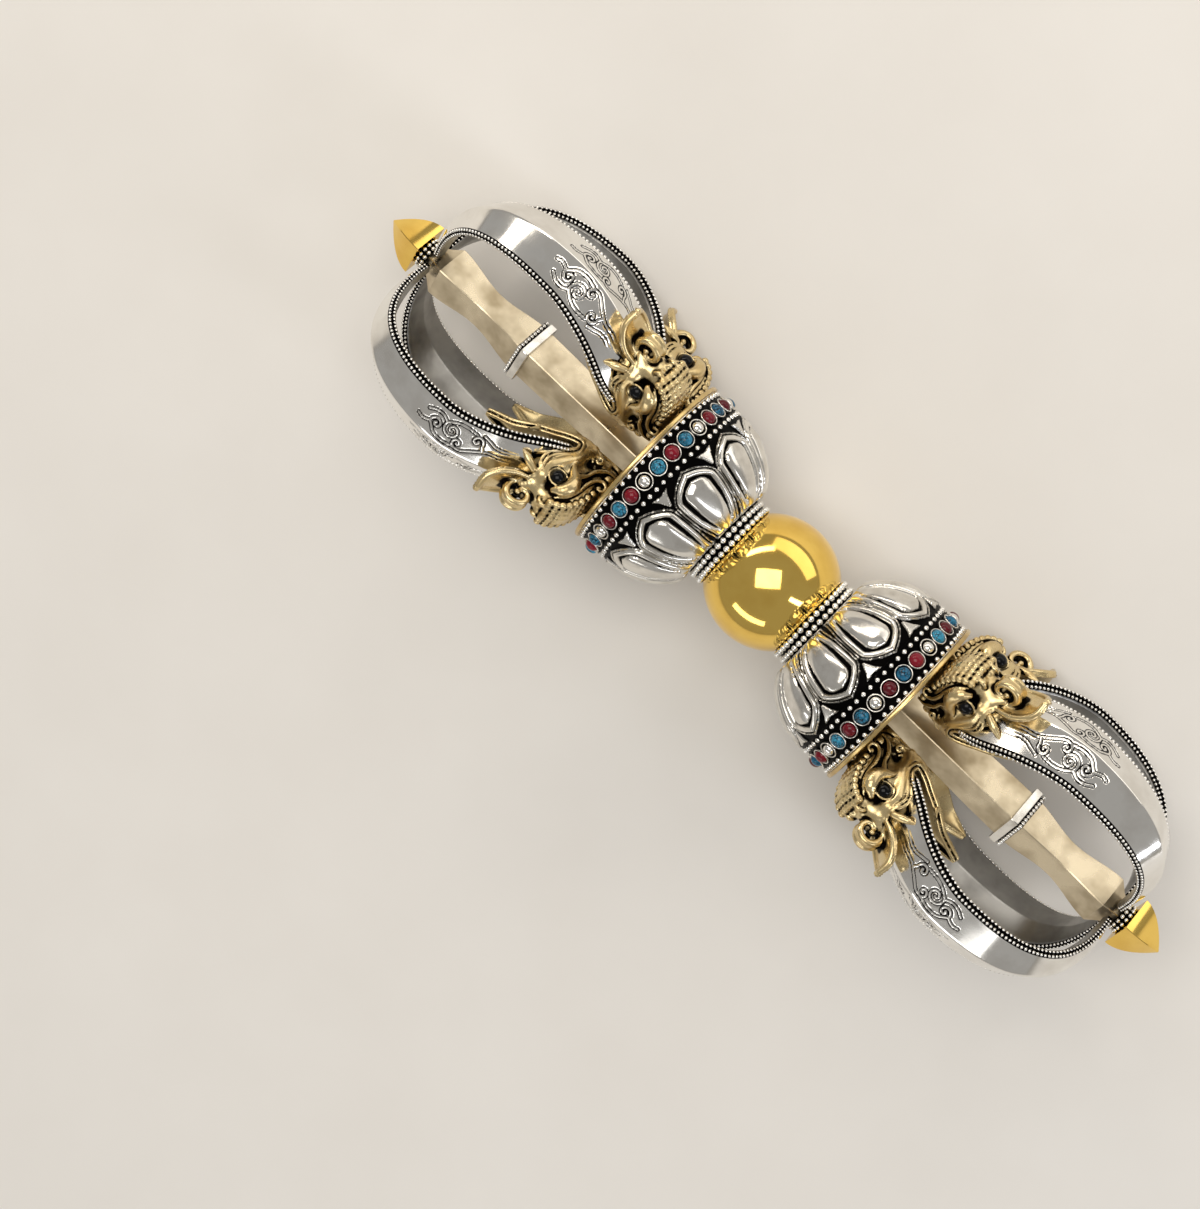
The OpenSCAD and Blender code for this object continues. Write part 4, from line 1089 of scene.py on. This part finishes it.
# Trunk: a ribbon with a fat smooth roll along each edge, wound up to a ball in its eye
TRUNK = [(14.1, 12.6), (13.0, 12.1), (12.9, 10.9), (14.0, 10.1), (15.5, 10.4), (16.5, 11.7), (16.5, 13.2),
         (15.5, 14.4), (14.0, 14.9), (12.4, 14.4), (11.0, 13.0)]
TRUNK_HALF = 1.0
swelling = 0.5 + 0.34 * np.linspace(0, 1, len(TRUNK)) ** 0.6
tube([(x, y, TRUNK_HALF, r) for (x, y), r in zip(TRUNK, swelling)], 0.12)
blade([(x, y, TRUNK_HALF) for x, y in TRUNK], 0.9, 0.0, 0.3, 60)
lump((14.3, 12.5, TRUNK_HALF), (0.7, 0.7, 0.9), 0.1)
# Jaw: a leaf under the prong, with a small tooth
blade([(x - 0.6, y, max(w - 0.1, 0.2)) for x, y, w in JAW], 0.9, 0.3, 0.5)
tube([(1.6, 18.8, 3.9, 0.55), (3.2, 19.9, 4.2, 0.1)], 0.15)
# Nostrils: a ball and a curl on each side, between trunk and nape
lump((11.7, 7.4, 1.3), (1.35, 1.35, 1.3), 0.3)
tube([(10.0, 9.6, 2.4, 0.5), (10.2, 7.8, 2.4, 0.62), (11.1, 6.5, 2.3, 0.68), (12.5, 6.5, 2.2, 0.64),
      (13.1, 7.6, 2.2, 0.56), (12.4, 8.4, 2.2, 0.46), (11.7, 7.9, 2.2, 0.38)], 0.12)
# Nape: rows of knobs across the back of the head, with a raised line at each side that ends in a curl
NAPE = [(-0.4, 1.4), (5.0, 1.1), (11.4, 1.3), (13.0, 5.8)]
for x, y in bezier(NAPE, np.linspace(0, 1, 11)):
    tube([(x, y, 0, 0.66), (x - 0.6, y + 0.3, 3.9, 0.6)], 0.12, 1)
    for across in (0, 1.3, 2.6, 3.9):
        lump((x - 0.15 * across, y + 0.08 * across, across), (0.84, 0.84, 0.72), 0.1)
tube([(11.2, 6.2, 4.2, 0.3), (9.6, 4.7, 4.9, 0.4), (7.0, 3.9, 5.2, 0.44), (4.4, 3.7, 5.1, 0.44),
      (2.2, 3.2, 4.9, 0.42), (0.9, 2.1, 4.7, 0.4), (1.2, 0.8, 4.6, 0.36), (2.5, 0.6, 4.6, 0.32),
      (3.0, 1.6, 4.7, 0.26)], 0.14)
# Mane: a strand and curls behind the jaw, and fine hair at the corner of the mouth
tube([(2.8, 4.9, 5.1, 0.35), (0.4, 4.4, 4.9, 0.45), (-1.8, 3.0, 4.3, 0.45), (-2.8, 1.2, 3.6, 0.3)], 0.15)
CURL_TURN, CURL_START, CURL_FAT = 6.4, 0.6, 0.36
for x, y, side, size in ((-2.4, 5.6, 4.3, 1.3), (-3.7, 3.9, 3.2, 1.0), (-3.9, 7.8, 4.2, 0.9)):
    bar = []
    for t in np.linspace(0, 1, 11):
        a, r = CURL_TURN * t + CURL_START, size * (1 - 0.65 * t)
        bar.append((x + r * math.cos(a), y + r * math.sin(a), side + 0.3 * t, CURL_FAT))
    tube(bar, 0.12)
HAIRS, HAIR_FAT = 6, 0.16
for k in range(HAIRS):
    tube([(-1.4 - 0.55 * k, 6.4 + 0.1 * k, 5.9 - 0.1 * k, HAIR_FAT),
          (-2.3 - 0.45 * k, 8.6 - 0.1 * k, 5.6 - 0.16 * k, HAIR_FAT)], 0.1, 1, True)
# Fang, from the lip over the side of the prong
tube([(10.2, 13.2, 5.0, 0.8), (10.0, 15.1, 5.9, 0.85), (9.6, 17.5, 6.8, 0.12)], 0.12)
# Lip leaf: a fat tongue over the ridge of the prong, rimmed along its edges, that turns up at its tip
LEAF = [(10.6, 12.4, 2.8), (12.9, 15.2, 3.8), (15.2, 17.4, 3.6), (17.4, 18.7, 2.4), (19.2, 18.6, 0.5)]
blade(LEAF, 1.1, 0.5, 0.4)
tube([(x, y, w, 0.62) for x, y, w in LEAF], 0.2)
print("cells of metal in a head", int((FIELD < 0).sum()), "of", FIELD.size)


# %% [markdown]
# The skin is drawn cell by cell. A cell that holds both metal and air gets one point, at the mean of the
# places where its edges cross zero. Points of neighbouring cells are joined into quads.

# %% Draw the skin
CORNERS = np.array([(i, j, k) for i in (0, 1) for j in (0, 1) for k in (0, 1)])


def skin(field):
    inside = field < 0
    cells_in = np.array(field.shape) - 1
    count = np.zeros(cells_in, np.int8)
    for corner in CORNERS:
        count += inside[tuple(slice(a, a + n) for a, n in zip(corner, cells_in))]
    cells = np.argwhere((count > 0) & (count < 8))
    values = np.stack([field[tuple((cells + corner).T)] for corner in CORNERS], 1)
    total, crossings = np.zeros((len(cells), 3)), np.zeros(len(cells))
    for a in range(8):
        for b in range(a + 1, 8):
            way = CORNERS[b] - CORNERS[a]
            if np.abs(way).sum() == 1:
                fa, fb = values[:, a], values[:, b]
                cross = (fa < 0) != (fb < 0)
                t = np.where(cross, fa / np.where(cross, fa - fb, 1), 0)
                total += np.where(cross[:, None], CORNERS[a] + t[:, None] * way, 0)
                crossings += cross
    points = LOW + (cells + total / crossings[:, None]) * STEP
    number = np.full(count.shape, -1, np.int64)
    number[tuple(cells.T)] = np.arange(len(cells))
    faces = []
    for axis, b, c in ((0, 1, 2), (1, 2, 0), (2, 0, 1)):
        near = [slice(1, n - 1) for n in field.shape]
        near[axis] = slice(0, field.shape[axis] - 1)
        far = list(near)
        far[axis] = slice(1, field.shape[axis])
        first, second = inside[tuple(near)], inside[tuple(far)]
        for leaves, flip in ((first & ~second, False), (~first & second, True)):
            at = np.argwhere(leaves) + [part.start for part in near]
            quad = []
            for db, dc in ((-1, -1), (0, -1), (0, 0), (-1, 0)):
                cell = at.copy()
                cell[:, b] += db
                cell[:, c] += dc
                quad.append(number[tuple(cell.T)])
            quad = np.stack(quad, 1)
            faces.append(quad[:, ::-1] if flip else quad)
    return points, np.vstack(faces)


def field_at(p):
    """The field between cells."""
    q = np.clip((p - LOW) / STEP, 0, np.array(FIELD.shape) - 1.001)
    i = q.astype(int)
    shares = (1 - (q - i), q - i)
    value = 0
    for a, b, c in CORNERS:
        weight = shares[a][:, 0] * shares[b][:, 1] * shares[c][:, 2]
        value = value + weight * FIELD[i[:, 0] + a, i[:, 1] + b, i[:, 2] + c]
    return value


def even_out(points, faces, rounds):
    """Moves each point to the mean of its neighbours and back, which smooths the skin but keeps its size."""
    pairs = np.vstack([faces[:, [i, (i + 1) % 4]] for i in range(4)])
    start, stop = np.vstack([pairs, pairs[:, ::-1]]).T
    number = np.bincount(start, minlength=len(points))[:, None]
    for share in (0.5, -0.53) * rounds:
        mean = np.stack([np.bincount(start, points[stop, i], len(points)) for i in range(3)], 1) / number
        points = points + share * (mean - points)
    return points


# Nothing of a head goes below the outer face of the plate
below = AXES[1] < 0.02
FIELD[:, below, :] = np.maximum(FIELD[:, below, :], 0.05)
head_points, head_faces = skin(FIELD)
head_points = even_out(head_points, head_faces, 3)
pull = np.stack([field_at(head_points + d) - field_at(head_points - d) for d in np.eye(3) * 0.15], 1)
pull /= np.linalg.norm(pull, axis=1)[:, None] + 1e-9
# Patina and painted shade gather where open air is short: the field a little way off the metal is less than
# the way gone, so each recess is darkened both as tarnish and as the shade that falls in it
head_dark = np.zeros(len(head_points))
for far, share in ((0.35, 0.35), (0.8, 0.35), (1.6, 0.3)):
    head_dark += share * np.clip(1 - field_at(head_points + pull * far) / far, 0, 1)
head_dark = np.clip((head_dark - 0.16) * 2.7, 0, 1)
head_local = np.stack([HEAD_R + head_points[:, 0], head_points[:, 2], Z_ROOT + head_points[:, 1]], 1)
for end in ENDS:
    for i, degrees in enumerate(TURNS):
        name = f"makara_{end}_{i + 1}"
        piece("carved_" + name, lay(spin(head_local, degrees), end), head_faces, [BRASS], head_dark, sharp=0,
              nodes=[name])
print("head faces", len(head_faces))

# %% Eyes
eye_local = np.array([(HEAD_R + EYE_AT[0], flip * EYE_AT[2], Z_ROOT + EYE_AT[1]) for flip in (-1, 1)])
for end in ENDS:
    places = np.vstack([lay(spin(eye_local, degrees), end) for degrees in TURNS])
    set_on("eye_beads_" + end, EYE, ONYX, places, one_aim(places), [EYE_D * MM] * len(places), seed=21,
           nodes=["eyes_" + end])
print(len(places), "eyes at each end")
for shape in (BEAD, FINE_BEAD, BEZEL, DOME, EYE):
    bpy.data.objects.remove(shape)

# %% [markdown]
# ## Portrait
# The camera looks down on the dorje at the photograph's angle: the axis runs from the upper left to the
# lower right, with the right end a little nearer. A constraint could aim it, but it wouldn't give the roll,
# so its three directions are worked out from measured angles. Soft lamps stand round a plain pale floor.

# %% Camera
TILT, LEAN, AXIS_TURN = math.radians(3.4), math.radians(11.3), math.radians(43.9)
# Where the picture's middle lies from the ball, how far the camera stands off, and its focal length in pixels
SHIFT_RIGHT, SHIFT_UP, STAND_OFF = -0.0347, -0.0045, 0.58
FOCAL_PX, PHOTO_HEIGHT_PX, SENSOR_MM = 2874, 1209, 36
axis = Vector((1, 0, 0))
upright = Vector((0, math.sin(LEAN), math.cos(LEAN)))
to_camera = upright * math.cos(TILT) + axis * math.sin(TILT)
axis_seen = (axis - to_camera * axis.dot(to_camera)).normalized()
across_seen = to_camera.cross(axis_seen)
right = math.cos(AXIS_TURN) * axis_seen + math.sin(AXIS_TURN) * across_seen
up = to_camera.cross(right)
place = Vector((0, 0, AXIS_H * MM)) + SHIFT_RIGHT * right + SHIFT_UP * up + STAND_OFF * to_camera
camera = show("camera", bpy.data.cameras.new("camera"))
camera.matrix_world = Matrix.Translation(place) @ Matrix((right, up, to_camera)).transposed().to_4x4()
camera.data.sensor_width = SENSOR_MM
camera.data.lens = SENSOR_MM * FOCAL_PX / PHOTO_HEIGHT_PX
camera.data.clip_start, camera.data.clip_end = 0.01, 20
bpy.context.scene.camera = camera
print("camera at", [round(x, 3) for x in place], "m")


# %% Floor, lamps and surroundings
LIT = Vector((0, 0, 0.03))


def lamp(name, place, size, watts, colour):
    """Soft lamp that faces the dorje; places and sizes are in metres."""
    data = bpy.data.lights.new(name, "AREA")
    data.shape, data.size, data.size_y, data.energy = "RECTANGLE", size[0], size[1], watts
    data.color = linear(colour)[:3]
    made = show(name, data)
    made.location = place
    made.rotation_mode = "QUATERNION"
    made.rotation_quaternion = (LIT - Vector(place)).to_track_quat("-Z", "Y")
    return made


lamp("overhead", (-0.1, 0.12, 0.82), (0.62, 0.46), 3.0, "#FFFAF2")
lamp("key", (-0.5, 0.3, 0.34), (0.5, 0.1), 1.1, "#FFF6EA")
lamp("side", (0.55, 0.1, 0.3), (0.08, 0.5), 0.8, "#F4F7FF")
lamp("front", (0.1, -0.6, 0.3), (0.6, 0.12), 0.6, "#FFFFFF")
lamp("back", (0.0, 0.62, 0.22), (1.0, 0.3), 1.2, "#FFFAF2")
FLOOR_HALF, PAPER_CLOUD_MM = 3, 40
floor_mesh = bpy.data.meshes.new("floor")
floor_corners = [(x * FLOOR_HALF, y * FLOOR_HALF, 0) for x, y in ((-1, -1), (1, -1), (1, 1), (-1, 1))]
floor_mesh.from_pydata(floor_corners, [], [(0, 1, 2, 3)])
floor = show("floor", floor_mesh)
# Pale matt paper, even enough to leave the object alone
paper, tree, shader, place = fresh("pale_paper")
shade = {"Vector": place, "Scale": 1 / (PAPER_CLOUD_MM * MM), **SOFT}
shades = {0: add(tree, "ShaderNodeTexNoise", shade).outputs[0], 6: linear("#E6E3DE"), 7: linear("#DEDAD4")}
paper_tone = add(tree, "ShaderNodeMix", shades, data_type="RGBA").outputs[2]
tree.links.new(paper_tone, shader.inputs["Base Color"])
shader.inputs["Roughness"].default_value = 0.9
floor_mesh.materials.append(paper)
floor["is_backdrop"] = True
world = bpy.data.worlds.new("studio")
bpy.context.scene.world = world
world.use_nodes = True
world.node_tree.nodes["Background"].inputs[0].default_value = linear("#A4A29F")
world.node_tree.nodes["Background"].inputs[1].default_value = 1.0
bpy.context.scene.view_settings.view_transform = "Standard"
print(len(bpy.data.lights), "lamps")

# %% Sizes before and after, then finish
last_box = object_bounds()
for word, before, after in zip(("low", "high"), first_box, last_box):
    print("box grew at its", word, "corner by", [round((b - a) / MM, 2) for a, b in zip(before, after)], "mm")
